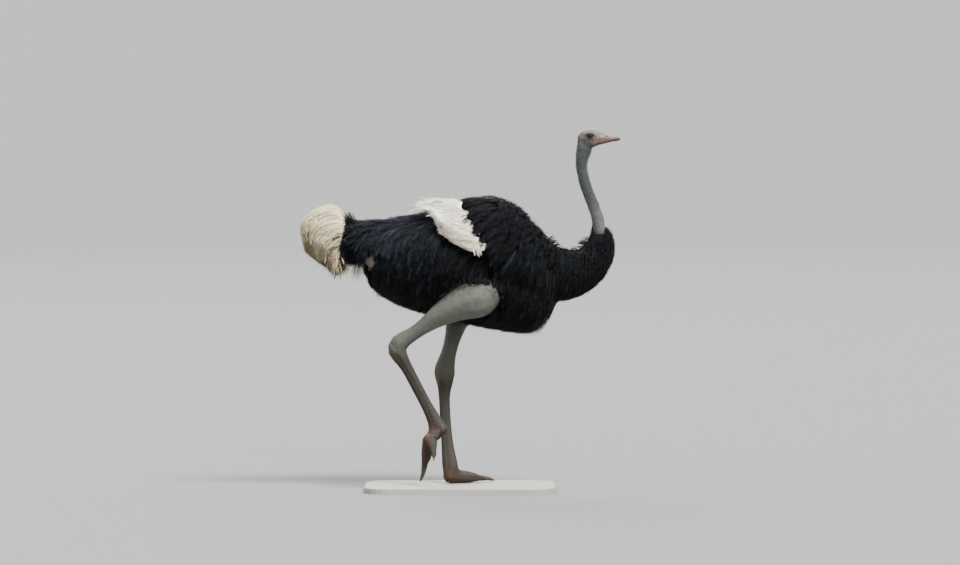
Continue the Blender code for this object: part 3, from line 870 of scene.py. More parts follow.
def almond(length, height, near, far):
    """A closed prism of almond section along Y, between the two distances."""
    radius = arc_radius(length, height)
    half = math.asin(length / radius)
    corners = []
    for sign in (1, -1):
        for k in range(12):
            angle = sign * half * (1 - 2 * k / 12)
            rise = radius * math.cos(angle) - radius + height
            corners.append((radius * math.sin(angle), near, sign * rise))
    bm = bmesh.new()
    face = bm.faces.new([bm.verts.new(corner) for corner in corners])
    grown = bmesh.ops.extrude_face_region(bm, geom=[face])["geom"]
    moved = [v for v in grown if isinstance(v, bmesh.types.BMVert)]
    bmesh.ops.translate(bm, verts=moved, vec=(0, far - near, 0))
    bmesh.ops.recalc_face_normals(bm, faces=bm.faces)
    return bm


def lid_distance(points):
    """Distance of each point from the edge of the lids' opening, seen from the side."""
    radius = arc_radius(*LID_OPENING)
    x = points[:, 0] - EYE.x
    z = points[:, 2] - EYE.z
    rise = radius - LID_OPENING[1]
    return np.maximum(np.hypot(x, z + rise), np.hypot(x, z - rise)) - radius


def hump(value, middle, width):
    return np.exp(-((value - middle) / width) ** 2)


def mouth_height(x):
    """The line where the jaws meet, from the bill's root back to below the eye."""
    return CHIN + 0.0135 + 0.17 * (x - BILL_ROOT) - 6.0 * np.minimum(x - BILL_ROOT, 0) ** 2


def head_and_neck(net, rng):
    """Head, lids and neck on a fine net, down to just below the edge of the ruff."""
    bm = welded(("head", "neck", "neck_ruff", "bill_upper", "bill_lower"))
    cut_off(bm, COLLAR_POINT - NECK_DIRECTION * 0.088, -NECK_DIRECTION)
    cut_off(bm, Vector((BILL_ROOT + 0.034, 0, EYE.z)), Vector((1, 0, 0)))
    for _, side in SIDES:
        place = Matrix.Translation((EYE.x, EYE.y * side, EYE.z))
        bmesh.ops.create_icosphere(
            bm, subdivisions=4, radius=EYE_RADIUS + LID_THICKNESS, matrix=place
        )
    obj = recast(object_from(bm, "head_skin"), net)
    mesh = obj.data
    edges = edges_of(mesh)
    points = points_of(mesh)
    mirrored = on_left(points)
    ear_gap = np.linalg.norm(mirrored - EAR, axis=1)
    near_ear = hump(ear_gap, 0, 0.012)
    eye_gap = np.linalg.norm(mirrored - np.array(EYE), axis=1)
    near_eye = 1 - smooth_step(0.016, 0.030, eye_gap)
    near_bill = smooth_step(BILL_ROOT - 0.016, BILL_ROOT - 0.003, points[:, 0])
    weight = 0.5 * (1 - 0.93 * near_ear) * (1 - 0.95 * near_eye) * (1 - 0.90 * near_bill)
    points = relaxed(points, edges, 70, weight)
    set_points(mesh, points)
    normals = normals_of(mesh)

    x, _, z = points.T
    rise = -0.009 * smooth_step(-0.004, 0.070, COLLAR - z)
    facing = smooth_step(0.4, 0.8, np.abs(normals[:, 1]))
    facing *= smooth_step(0.018, 0.030, mirrored[:, 1])
    edge = lid_distance(points)
    around = facing * smooth_step(0.040, 0.024, np.hypot(x - EYE.x, z - EYE.z))
    rise += around * (
        0.0011 * hump(edge, 0.0018, 0.0016) - 0.0008 * hump(edge, 0.0054, 0.0016)
        + 0.0007 * hump(edge, 0.0082, 0.0018) - 0.0005 * hump(edge, 0.0112, 0.0016)
    )
    above = smooth_step(0.006, 0.014, z - EYE.z)
    rise += facing * above * 0.0016 * hump(edge, 0.0075, 0.0035)
    rise += 0.0012 * hump(ear_gap, 0.0105, 0.0022)
    on_neck = smooth_step(1.745, 1.70, z)
    folds = waves(points * (0.25, 0.25, 1.0), 0.011, rng)
    rise += on_neck * (0.00028 * folds + 0.0006 * waves(points, 0.05, rng))
    calm = (1 - on_neck) * (1 - around) * (1 - near_bill)
    rise += calm * 0.00016 * waves(points, 0.006, rng)
    rise -= 0.0036 * smooth_step(BILL_ROOT - 0.001, BILL_ROOT + 0.013, x)
    mouth = z - mouth_height(x)
    corner = smooth_step(EYE.x - 0.002, EYE.x + 0.010, x)
    corner *= smooth_step(0.3, 0.7, np.abs(normals[:, 1]))
    rise += corner * (0.0010 * hump(mouth, 0.0045, 0.003) - 0.0022 * hump(mouth, 0, 0.0014))
    cheek = hump(x, EYE.x - 0.006, 0.016) * hump(z, 1.757, 0.010)
    rise += 0.0014 * cheek * smooth_step(0.5, 0.9, np.abs(normals[:, 1]))
    set_points(mesh, points + normals * rise[:, None])

    for _, side in SIDES:
        bm = almond(*LID_OPENING, 0.030, 0.070)
        bmesh.ops.translate(bm, verts=bm.verts, vec=(EYE.x, 0, EYE.z))
        if side < 0:
            bmesh.ops.scale(bm, vec=(1, -1, 1), verts=bm.verts)
            bmesh.ops.recalc_face_normals(bm, faces=bm.faces)
        combine(obj, orderly(bm, "lid_opening"), "DIFFERENCE")
        bm = bmesh.new()
        bmesh.ops.create_uvsphere(
            bm, u_segments=64, v_segments=40, radius=EYE_RADIUS + 0.0002,
            matrix=Matrix.Translation((EYE.x, EYE.y * side, EYE.z)),
        )
        combine(obj, orderly(bm, "socket"), "DIFFERENCE")
    return obj


def shank_line(side_name):
    """The shank's middle line, as fits of x and y over the height."""
    points = points_of(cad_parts["shank_" + side_name].data)
    low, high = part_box("shank_" + side_name)
    span = high.z - low.z
    inner = (points[:, 2] > low.z + 0.16 * span) & (points[:, 2] < high.z - 0.18 * span)
    middle = points[inner]
    return np.polyfit(middle[:, 2], middle[:, 0], 2), np.polyfit(middle[:, 2], middle[:, 1], 2)


def leg_places(side_name, points):
    """Where each point lies on its leg: out from the shank's line, forwards and sideways."""
    line_x, line_y = shank_line(side_name)
    ahead = points[:, 0] - np.polyval(line_x, points[:, 2])
    aside = points[:, 1] - np.polyval(line_y, points[:, 2])
    return ahead, aside


def toe_frame(node):
    """A toe's own axes: its middle, the way it points and the way its back faces."""
    points = points_of(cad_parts[node].data)
    middle = points.mean(axis=0)
    pull = np.linalg.svd(points - middle, full_matrices=False)[2]
    along = pull[0]
    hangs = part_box(node)[1].z - BASE_TOP > 0.15
    if (hangs and along[2] > 0) or (not hangs and along[0] < 0):
        along = -along
    back = np.array((1.0, 0, 0)) if hangs else np.array((0, 0, 1.0))
    back = back - along * (back @ along)
    return middle, along, back / np.linalg.norm(back)


def saw(place, pitch):
    """The profile of overlapping plates: each swells and drops at its lower edge."""
    share = (place / pitch) % 1.0
    return share ** 0.8 * smooth_step(1.0, 0.86, share)


def seams(place, pitch):
    """1 along the seams between such plates, and 0 on the plates."""
    share = (place / pitch) % 1.0
    return np.maximum(smooth_step(0.80, 0.97, share), smooth_step(0.12, 0.0, share))


def leg_skin(side_name, net, rng):
    """One leg from inside the flank to its toes, with its plates and pads."""
    toes = ["toe_inner_" + side_name, "toe_outer_" + side_name]
    bm = welded(["thigh_" + side_name, "shank_" + side_name] + toes)
    trunk = tree_of(("trunk",))
    inside = Vector((0.05, 0, 1.08))
    for vert in bm.verts:
        gap = trunk.find_nearest(vert.co)[3]
        if gap < 0.002 and vert.co.z > 0.8:
            vert.co += (inside - vert.co).normalized() * 0.06
    obj = recast(object_from(bm, "leg_skin_" + side_name), net)
    mesh = obj.data
    edges = edges_of(mesh)
    points = points_of(mesh)
    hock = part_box("shank_" + side_name)[1].z
    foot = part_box(toes[0])[1].z
    on_thigh = smooth_step(hock + 0.02, hock + 0.12, points[:, 2])
    on_toes = smooth_step(foot + 0.01, foot - 0.03, points[:, 2])
    joint = hump(points[:, 2], foot - 0.005, 0.028)
    weight = 0.045 + 0.455 * on_thigh - 0.020 * on_toes + 0.30 * joint * (1 - on_thigh)
    points = relaxed(points, edges, 130, weight)
    set_points(mesh, points)
    normals = normals_of(mesh)

    ahead, aside = leg_places(side_name, points)
    turn = np.arctan2(aside, ahead)
    on_shank = smooth_step(hock - 0.02, hock - 0.07, points[:, 2]) * (1 - on_toes)
    front = smooth_step(0.9, 0.55, np.abs(turn))
    rise = 0.0013 * saw(-points[:, 2], SHANK_PITCH) * front * on_shank
    rear = smooth_step(2.45, 2.8, np.abs(turn))
    rise += 0.0006 * saw(-points[:, 2], 0.011) * rear * on_shank
    groove = hump(np.abs(turn), 1.75, 0.35)
    rise -= 0.0022 * groove * on_shank
    knuckle = hump(points[:, 2], hock, 0.035)
    rise -= 0.0035 * knuckle * hump(np.abs(turn), 1.2, 0.5)
    if foot > 0.2:
        bulge = hump(points[:, 2], foot - 0.014, 0.034) * smooth_step(0.1, 0.8, normals[:, 0])
        rise += 0.018 * bulge * (np.abs(aside) < 0.06)
    for node in toes:
        middle, along, back = toe_frame(node)
        reach = points - middle
        place = reach @ along
        height = reach @ back
        claw = points_of(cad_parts[node.replace("toe", "claw")].data) - middle
        root = (claw @ along).min()
        foot_of_claw = claw[claw @ along < root + 0.006].mean(axis=0)
        axis = middle + foot_of_claw + np.outer(place - foot_of_claw @ along, along)
        near = np.linalg.norm(points - axis, axis=1) < 0.045
        taper = 0.34 * smooth_step(root - 0.080, root + 0.004, place) * near
        points = points + (axis - points) * taper[:, None]
        gap = np.linalg.norm(reach - np.outer(place, along), axis=1)
        mine = on_toes * smooth_step(0.055, 0.042, gap)
        top = smooth_step(0.2, 0.6, normals @ back)
        rise += 0.0014 * saw(place, TOE_PITCH) * top * mine
        pads = smooth_step(0.1, 0.6, -(normals @ back)) * mine
        rise += 0.0004 * pads * waves(points, 0.006, rng) * (height < 0.02)
    muscles = 0.0012 * waves(points, 0.16, rng) + 0.0003 * waves(points, 0.035, rng)
    rise += on_thigh * muscles
    rise += (1 - on_thigh) * 0.00035 * waves(points, 0.012, rng)
    set_points(mesh, points + normals * rise[:, None])
    return obj


def collar_height(points):
    """Where the black ends on the neck: lower at its sides than at its nape and throat."""
    ragged = 0.004 * np.sin(math.tau * points[:, 0] / 0.019)
    return COLLAR + 0.008 + ragged - 0.036 * smooth_step(0.010, 0.036, np.abs(points[:, 1]))


def neck_paint(points, normals, colour):
    """The greys and pinks of neck and head, and how much each point is part of them."""
    x, y, z = points.T
    neck = smooth_step(-0.010, 0.016, z - collar_height(points)) * smooth_step(0.5, 0.55, x)
    colour = mix(colour, NECK_GREY, neck)
    colour = mix(colour, PALE_NECK_AND_RIM_LIGHT, 0.68 * neck * smooth_step(1.50, 1.36, z))
    # Paler where the neck faces forward and back: painted rim light at throat and nape.
    throat = neck * smooth_step(0.60, 0.85, normals[:, 0]) * smooth_step(1.76, 1.70, z)
    colour = mix(colour, PALE_NECK_AND_RIM_LIGHT, 0.85 * throat)
    nape = neck * smooth_step(0.70, 0.95, -normals[:, 0]) * smooth_step(1.44, 1.60, z)
    colour = mix(colour, PALE_NECK_AND_RIM_LIGHT, 0.7 * nape)
    rim = neck * smooth_step(0.042, 0.004, z - collar_height(points))
    colour = mix(colour, DOWN_BLACK, 0.55 * rim)
    head = smooth_step(1.725, 1.760, z)
    crown = head * smooth_step(EYE.z + 0.004, EYE.z + 0.018, z + 0.18 * (x - EYE.x))
    colour = mix(colour, LORE_GREY, head)
    colour = mix(colour, CROWN_PALE, crown)
    beside = smooth_step(0.02, 0.03, np.abs(y))
    edge = lid_distance(points)
    # Dark purple skin round the eye, spread wider as painted shade of the eye socket.
    across = np.hypot((x - EYE.x) / 0.031, (z - EYE.z) / 0.018)
    shade = head * beside * smooth_step(1.25, 0.70, across)
    colour = mix(colour, SOCKET_PURPLE_AND_SHADE, 0.88 * shade)
    lids = head * beside * smooth_step(0.0050, 0.001, edge)
    colour = mix(colour, EYELID_DARK, 0.85 * lids)
    over = z - mouth_height(x)
    gape = head * smooth_step(EYE.x - 0.004, EYE.x + 0.030, x) * hump(over, 0.004, 0.010)
    colour = mix(colour, GAPE_PINK, np.clip(1.2 * gape, 0, 0.9))
    ear = head * hump(x, EYE.x - 0.046, 0.010) * hump(z, EYE.z - 0.014, 0.022)
    colour = mix(colour, GAPE_PINK, 0.45 * ear)
    root = smooth_step(BILL_ROOT - 0.020, BILL_ROOT - 0.002, x) * head
    colour = mix(colour, bill_paint(points, normals), root)
    return colour, np.maximum(neck, head)


def bill_paint(points, normals):
    """The bill's colours: pink at its sides, horn yellow above and brown at its tip."""
    x, _, z = points.T
    colour = np.tile(np.array(BILL_PINK), (len(points), 1))
    over = z - mouth_height(x)
    pink = 0.021 - 0.14 * (x - BILL_ROOT)  # how high the pink reaches over the mouth
    top = smooth_step(0.30, 0.80, normals[:, 2])
    top = np.maximum(top, smooth_step(pink, pink + 0.008, over)) * (over > 0)
    colour = mix(colour, BILL_PALE, 0.85 * top)
    # Greyer and darker on the bill's underside: painted shade.
    underside_shade = smooth_step(0.2, 0.8, -normals[:, 2])
    colour = mix(colour, LORE_GREY, 0.45 * underside_shade)
    tip = smooth_step(BILL_TIP - 0.042, BILL_TIP - 0.008, x)
    colour = mix(colour, BILL_TIP_BROWN, 0.86 * tip)
    # Dark along the line where the jaws meet near the tip: painted shade in the gap.
    mouth = hump(z, mouth_height(x), 0.0030)
    return mix(colour, DARK_SEAM_AND_SHADE, 0.8 * mouth * smooth_step(BILL_TIP - 0.055, BILL_TIP - 0.02, x))


def leg_paint(name, points, normals):
    """The colour of one leg at every point, with its scute edges and soles."""
    z = points[:, 2]
    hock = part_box("shank_" + name)[1].z
    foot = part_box("toe_inner_" + name)[1].z
    shade = np.tile(np.array(THIGH_GREY), (len(points), 1))
    shade = mix(shade, HOCK_GREY, smooth_step(hock + 0.24, hock + 0.06, z))
    shade = mix(shade, SHANK_GREY, smooth_step(hock + 0.01, hock - 0.08, z))
    # Paler on the thigh's underside: painted light bounced up from the ground.
    under = smooth_step(0.1, 0.8, -normals[:, 2]) * smooth_step(hock, hock + 0.1, z)
    shade = mix(shade, CROWN_PALE, under)
    ahead, aside = leg_places(name, points)
    turn = np.abs(np.arctan2(aside, ahead))
    on_shank = smooth_step(hock + 0.01, hock - 0.05, z)
    front = smooth_step(1.0, 0.6, turn)
    shade = mix(shade, SCUTE_BROWN, 0.35 * front * on_shank)
    shade = mix(shade, DARK_SEAM_AND_SHADE, 0.65 * seams(-z, SHANK_PITCH) * front * on_shank)
    rear = smooth_step(2.2, 2.75, turn)
    shade = mix(shade, SCUTE_BROWN, 0.5 * rear * on_shank)
    heel = hump(z, hock - 0.030, 0.055) * smooth_step(2.0, 2.7, turn)
    shade = mix(shade, HEEL_ORANGE, 0.85 * heel)
    low = smooth_step(foot + 0.03, foot - 0.02, z)
    shade = mix(shade, TOE_BROWN, 0.7 * low)
    for toe in ("toe_inner_" + name, "toe_outer_" + name):
        middle, along, back = toe_frame(toe)
        reach = points - middle
        place = reach @ along
        gap = np.linalg.norm(reach - np.outer(place, along), axis=1)
        near = smooth_step(0.060, 0.045, gap)
        top = smooth_step(0.3, 0.7, normals @ back)
        shade = mix(shade, DARK_SEAM_AND_SHADE, 0.6 * seams(place, TOE_PITCH) * top * near * low)
        sole = smooth_step(0.15, -0.45, normals @ back) * low * near
        shade = mix(shade, SOLE_BROWN, 0.85 * sole)
    scaly = smooth_step(hock + 0.06, hock - 0.02, z) * (1 - 0.75 * front * on_shank)
    scaly = 0.05 + 0.95 * scaly
    stipple = smooth_step(hock + 0.06, hock + 0.20, z)
    return shade, scaly, stipple


def skin_paint(points, normals):
    """The look of every point of the skin: its colour, how bare, scaly and stippled it is."""
    x, y, z = points.T
    colour = np.tile(np.array(DOWN_BLACK), (len(points), 1))
    colour, bare = neck_paint(points, normals, colour)
    scaly = 0.10 * bare
    vent = np.clip(1.5 * hump(x, VENT.x, 0.034) * hump(z, VENT.z, 0.044), 0, 1)
    colour = mix(colour, VENT_MAUVE, vent)
    bare = np.maximum(bare, vent)
    stipple = 0.24 * vent
    low = (z < 1.20) & (x < 0.34)
    legs, feathered = tree_of(LEG_NODES), tree_of(BLACK_NODES)
    outside = np.full(len(points), -1.0)
    for i in np.nonzero(low)[0]:
        on_leg = legs.find_nearest(points[i])[3]
        place, normal, _, gap = feathered.find_nearest(points[i])
        inward = (Vector(points[i]) - place).dot(normal) < 0
        outside[i] = (-gap if inward else gap) - 0.5 * on_leg
    for name, side in SIDES:
        leg = smooth_step(-0.012, -0.002, outside) * (y * side > 0.02)
        shade, its_scales, its_stipple = leg_paint(name, points, normals)
        # Painted shade on the thigh's top under the plumage's edge, tinted with the brown of
        # sparse down.
        hem = smooth_step(0.068, 0.000, outside) * smooth_step(0.80, 0.90, z)
        hem *= 0.55 + 0.45 * smooth_step(0.22, 0.06, x)
        shade = mix(shade, HEM_SHADE_AND_BROWN, 0.54 * hem)
        colour = mix(colour, shade, leg)
        bare = np.maximum(bare, leg)
        scaly = np.maximum(scaly, leg * its_scales)
        stipple = np.maximum(stipple, leg * its_stipple)
    return {"skin_colour": (colour, bare), "scaliness": scaly, "stipple": stipple}


def paint_points(mesh, looks):
    """Writes each look on the mesh's points: a number each, or a colour with its alpha."""
    for name, values in looks.items():
        if isinstance(values, tuple):
            layer = mesh.attributes.new(name, "FLOAT_COLOR", "POINT")
            rgba = np.concatenate((values[0], values[1][:, None]), axis=1)
            layer.data.foreach_set("color", rgba.astype(np.float32).ravel())
        else:
            layer = mesh.attributes.new(name, "FLOAT", "POINT")
            layer.data.foreach_set("value", values.astype(np.float32))


def thin_out(obj, faces):
    """Brings the object down to about that many triangles, where it is flattest first."""
    tidy = obj.modifiers.new("Thin", "DECIMATE")
    total = sum(len(p.vertices) - 2 for p in obj.data.polygons)
    tidy.ratio = min(1.0, faces / total)
    return settle(obj)


# The coat --------------------------------------------------------------------------------

SHELL_NET = 0.010  # sizes of the nets that carry the plumes
WING_NET = 0.006
TAIL_NET = 0.008
RUMP_END = -0.22  # where the coat's pieces meet along the body
BREAST_END = 0.40
GROIN = (0.018, 0.920)  # short plumes here, as long ones would hang free under the thigh
WORN = (  # thin places in the black plumage: x, z, half width, half height
    (-0.150, 1.005, 0.050, 0.016), (0.180, 0.930, 0.040, 0.018), (0.140, 1.06, 0.03, 0.03),
)


def heading_of(x, y, z):
    return np.stack(np.broadcast_arrays(x, y, z), axis=1).astype(float)


def parting(places, normals):
    """How far a place lies on the parting, in front of the shoulders and on the saddle."""
    x = places[:, 0]
    front = smooth_step(0.10, 0.40, normals[:, 0]) * smooth_step(0.15, 0.45, normals[:, 2])
    saddle = smooth_step(0.42, 0.50, x) * smooth_step(0.65, 0.90, normals[:, 2])
    return np.maximum(front, saddle)


def body_flow(places, normals):
    """Plumage lies backwards on the back and hangs on the flanks, parted at the shoulders."""
    x, y, z = places.T
    flank = smooth_step(0.25, 0.80, np.abs(normals[:, 1]))
    back = heading_of(-1.0, 0.0, -0.35 + 0 * x)
    hang = heading_of(-0.30, 0.0, -1.0 + 0 * x)
    share = flank * (1 - 0.75 * smooth_step(-0.42, -0.56, x))
    covert = smooth_step(1.10, 1.22, z) * smooth_step(-0.05, 0.05, x) * smooth_step(0.34, 0.24, x)
    share *= 1 - 0.50 * covert
    share = np.maximum(share, smooth_step(0.44, 0.56, x))
    sideways = np.clip(y / 0.05, -1, 1)
    parted = heading_of(-0.30, 1.3 * sideways, -0.6 + 0 * x)
    flow = mix(back, hang, share)
    return unit(mix(flow, parted, parting(places, normals)))


def ruff_flow(places, normals):
    """The ruff's small feathers point down and a little backwards."""
    saddle = smooth_step(0.55, 0.90, normals[:, 2])
    y = places[:, 1]
    return unit(heading_of(-0.22, 1.4 * np.sign(y) * saddle, -1.0))


def wing_plume_flow(places, normals):
    """The white flight plumes sweep straight back, and rise a little at their foot."""
    z = places[:, 2]
    return unit(heading_of(-1.0, 0.0, 0.16 * smooth_step(1.42, 1.25, z) - 0.03))


def tail_flow(places, normals):
    """The tail's plumes arch back from its root and then hang."""
    x, y, z = places.T
    fall = smooth_step(TAIL_END + 0.02, TAIL_END - 0.14, x)
    under = smooth_step(1.30, 1.20, z)
    return unit(heading_of(-1.0 + 0.75 * fall, 0.4 * y, -0.15 - 1.6 * fall - 1.2 * under))


def limit_reach(reach, roots, headings, tree, length, overlap):
    """Shortens the plumes that would run far over what the tree holds."""
    places, _, gaps = nearest(tree, roots)
    towards = np.sum(unit(places - roots) * headings, axis=1) > 0.25
    return np.where(towards, np.minimum(reach, (gaps + overlap) / length), reach)


def clear_patch(reach, roots, headings, length):
    """Shortens the plumes that would hang over the bare patch under the tail."""
    towards = (np.array(VENT) - roots) * (1, 0, 1)
    flat = unit(headings * (1, 0, 1))
    ahead = np.sum(towards * flat, axis=1)
    aside = np.linalg.norm(towards - flat * ahead[:, None], axis=1)
    over = (aside < 0.045) & (ahead > 0)
    return np.where(over, np.minimum(reach, np.maximum(ahead - 0.050, 0.010) / length), reach)


def black_sheen_and_wear(roots, normals):
    """Plumes are paler on the rump and back, a painted sheen, and where the plumage is worn thin.
    """
    x, _, z = roots.T
    # Painted sheen: paler where the plumage faces up, and most on the rump.
    top = smooth_step(-0.1, 0.7, normals[:, 2])
    rump = hump(x, -0.30, 0.20) * smooth_step(1.22, 1.33, z)
    tone = 0.06 * top + 0.55 * rump
    for place_x, place_z, wide, high in WORN:
        tone += 0.55 * hump(x, place_x, wide) * hump(z, place_z, high)
    return tone


def black_coat(settings, material):
    """The black plumage of body, wings and ruff, on an even strewing of roots."""
    rng = np.random.default_rng(settings.seed)
    _, points, faces = shell_of(BLACK_NODES, SHELL_NET, 10)
    tree = shell_of(BLACK_NODES + THIGHS + WHITE_WINGS + ("tail_plumes",), SHELL_NET, 8)[0]
    thighs, white, mop = (tree_of(nodes) for nodes in (THIGHS, WHITE_WINGS, ("tail_plumes",)))
    ruff = tree_of(("neck_ruff",))
    wings = tree_of(("wing_left", "wing_right"))

    def clear_of_others(candidates):
        x, _, z = candidates.T
        clear = np.hypot((x - VENT.x) / 0.026, (z - VENT.z) / 0.036) > 1
        for obstacle, least in ((thighs, 0.009), (white, 0.008), (mop, 0.004)):
            clear &= height_over(obstacle, candidates) > least
        buried = nearest(tree, candidates)[2] > 0.015
        return clear & ~buried

    def on_ruff(candidates):
        return (nearest(ruff, candidates)[2] < 0.010) & (candidates[:, 0] > 0.50)

    def body_roots(candidates):
        return clear_of_others(candidates) & ~on_ruff(candidates)

    def ruff_roots(candidates):
        return on_ruff(candidates) & (candidates[:, 2] < collar_height(candidates) - 0.004)

    body = Lay(
        settings.spacing, settings.length, settings.barb, settings.barbs,
        proud=-0.003, web=0.0038, tint=(0.0, 0.25), odd=0.02,
    )
    roots = scatter(points, faces, body.spacing, rng, body_roots)
    _, normals, _ = nearest(tree, roots)
    headings = along_surface(body_flow(roots, normals), normals)
    x, y, z = roots.T
    reach = 1 - 0.40 * smooth_step(-0.40, -0.56, x)
    reach *= 1 - 0.35 * smooth_step(0.44, 0.52, x)
    reach *= 1 - 0.35 * parting(roots, normals)
    overlaps = ((thighs, 0.0, 0.026), (white, -0.004, 0.034), (mop, 0.012, 0.044))
    for obstacle, least, most in overlaps:
        overlap = rng.uniform(least, most, len(roots))
        reach = limit_reach(reach, roots, headings, obstacle, body.length, overlap)
    reach = clear_patch(reach, roots, headings, body.length)
    groin = np.hypot(x - GROIN[0], z - GROIN[1]) + 0.2 * np.abs(y) < 0.06
    reach = np.clip(np.where(groin, 0.4 * reach, reach), 0.10, 1)
    calm = parting(roots, normals) > 0.12
    close = Lay(
        settings.spacing, 0.66 * settings.length, 0.9 * settings.barb, settings.barbs,
        proud=-0.007, curl=0.004, fluff=0.085, spread=48, free=0.03, wander=0.30, web=0.003,
        barb_width=0.0009, tint=(0.0, 0.22), odd=0.02,
    )
    tone = black_sheen_and_wear(roots, normals)
    winged = nearest(wings, roots)[2] < 0.010
    behind = x < RUMP_END
    before = x > BREAST_END
    beside = ~behind & ~before
    regions = [("coat_breast", before, (0.45, 0, 1.14))]
    for region, inside, middle in (
        ("rump", behind, (-0.40, 0, 1.18)), ("coverts", winged & beside, (0.08, 0, 1.14)),
        ("flank", ~winged & beside, (0.08, 0, 1.14)),
    ):
        for name, side in SIDES:
            here = inside & ((y > 0) == (side > 0))
            regions.append((f"coat_{region}_{name}", here, middle))
    for name, inside, middle in regions:
        coat = Coat(middle)
        for lay, chosen in ((body, inside & ~calm), (close, inside & calm)):
            lay_plumes(coat, roots[chosen], tree, body_flow, reach[chosen], lay, rng, tone[chosen])
        finish_piece(coat.to_object(name), "black_plumage", material)

    small = Lay(
        0.0135, 0.080, 0.024, 14, depth=0.008, proud=-0.003, curl=0.006, web=0.0018,
        barb_width=0.0008, spread=34, rings=5, tint=(0.0, 0.2), odd=0.02,
    )
    roots = scatter(points, faces, small.spacing, rng, ruff_roots)
    reach = 0.40 + 0.60 * smooth_step(COLLAR, COLLAR - 0.16, roots[:, 2])
    coat = Coat((0.66, 0, 1.25))
    lay_plumes(coat, roots, tree, ruff_flow, reach, small, rng)
    finish_piece(coat.to_object("coat_ruff"), "black_plumage", material)


def collar_coat(skin, material):
    """The smallest feathers, on the neck's own skin round the edge of the ruff."""
    rng = np.random.default_rng(5)
    tree, points, faces = part_of_skin(
        skin, lambda v: v.co.x > 0.5 and COLLAR - 0.150 < v.co.z < COLLAR + 0.03
    )

    def keep(candidates):
        z = candidates[:, 2]
        uneven = rng.normal(0, 0.006, len(z))
        return (z < collar_height(candidates) + uneven) & (z > COLLAR - 0.080)

    lay = Lay(
        0.0055, 0.042, 0.013, 8, depth=0.001, proud=0.006, curl=0.006, web=0.0014,
        barb_width=0.0006, spread=30, rings=4, tint=(0.0, 0.2),
    )
    roots = scatter(points, faces, lay.spacing, rng, keep)
    coat = Coat((0.66, 0, 1.25))
    lay_plumes(coat, roots, tree, ruff_flow, np.ones(len(roots)), lay, rng)
    finish_piece(coat.to_object("coat_collar"), "black_plumage", material)


def bend(start, heading, normals, lift, length, ease=0.2):
    """Middles and tips of strands that rise from their start and then bend over."""
    middle = start + (heading + normals * lift) * length * 0.5
    return middle, middle + (heading + normals * lift * ease) * length * 0.5


def strand_piece(name, looks, centre, strands, normals, width, tone, flat=0.6, dull=0.6):
    """A piece of coat of (bases, middles, tips). looks is its slot and its material."""
    coat = Coat(centre)
    add_strands(coat, *strands, normals, width, width * flat, tone * dull, tone)
    return finish_piece(coat.to_object(name), *looks)


def under_down(skin, settings, material):
    """Short down on all the feathered skin, which fills what the plumes leave open."""
    rng = np.random.default_rng(settings.seed + 50)
    mesh = skin.data
    faces = triangles_of(mesh)
    bare = read_array(mesh.attributes["skin_colour"].data, "color", 4)[:, 3]
    faces = faces[(bare[faces] < 0.3).all(axis=1)]
    roots = scatter(points_of(mesh), faces, settings.down_spacing, rng)
    places, normals, _ = nearest(tree_from(bmesh_of(mesh)), roots)
    heading = along_surface(body_flow(places, normals), normals)
    heading = unit(heading + rng.normal(0, 0.25, roots.shape))
    length = 0.036 * rng.uniform(0.6, 1.2, len(roots))[:, None]
    lift = rng.uniform(0.25, 0.65, len(roots))[:, None]
    base = roots - normals * 0.001
    width = rng.uniform(0.0009, 0.0017, len(roots))
    tone = np.clip(rng.normal(0.10, 0.06, len(roots)), 0, 1)
    strands = (base, *bend(base, heading, normals, lift, length))
    looks = ("black_plumage", material)
    return strand_piece("coat_down", looks, (0.05, 0, 1.15), strands, normals, width, tone)


# Plumes that stand out: place, heading, length, how many, how far strewn, and how far out
BLACK_TUFTS = (
    ((0.480, 0.0, 1.256), (0.80, 0, 0.50), 0.030, 9, 0.020, 0.05),
    ((0.628, 0.0, 1.270), (-0.85, 0, 0.35), 0.038, 10, 0.014, 0.03),
    ((-0.545, 0.0, 1.350), (-0.62, 0, 0.75), 0.062, 24, 0.016, 0.06),
    ((-0.568, 0.0, 1.260), (-1.0, 0, 0.0), 0.046, 60, 0.015, 0.15),
    ((0.560, 0.0, 1.250), (-0.95, 0, 0.30), 0.032, 18, 0.030, 0.03),
    ((-0.505, 0.0, 1.155), (-0.55, 0, -0.80), 0.052, 9, 0.022, 0.05),
    ((-0.465, 0.0, 1.140), (-0.05, 0, -1.0), 0.034, 20, 0.006, 0.03),
)
WHITE_TUFTS = (
    ((-0.505, 0.0, 1.155), (-0.45, 0, -0.90), 0.062, 15, 0.020, 0.05),
    ((-0.400, 0.0, 1.010), (-0.55, 0, -0.60), 0.036, 5, 0.012, 0.02),
)
WING_TUFTS = (
    ((-0.180, 0.13, 1.452), (-1.0, 0, 0.16), 0.064, 16, 0.012, 0.08),
    ((-0.110, 0.12, 1.480), (-1.0, 0, 0.28), 0.052, 14, 0.024, 0.07),
    ((0.092, 0.30, 1.250), (0.10, 0, -1.0), 0.033, 18, 0.009, 0.02),
)
TAIL_TUFTS = (
    ((-0.610, 0.0, 1.160), (0.05, 0, -1.0), 0.044, 18, 0.018, 0.10),
    ((-0.650, 0.0, 1.130), (0.10, 0, -1.0), 0.034, 14, 0.034, 0.09),
)


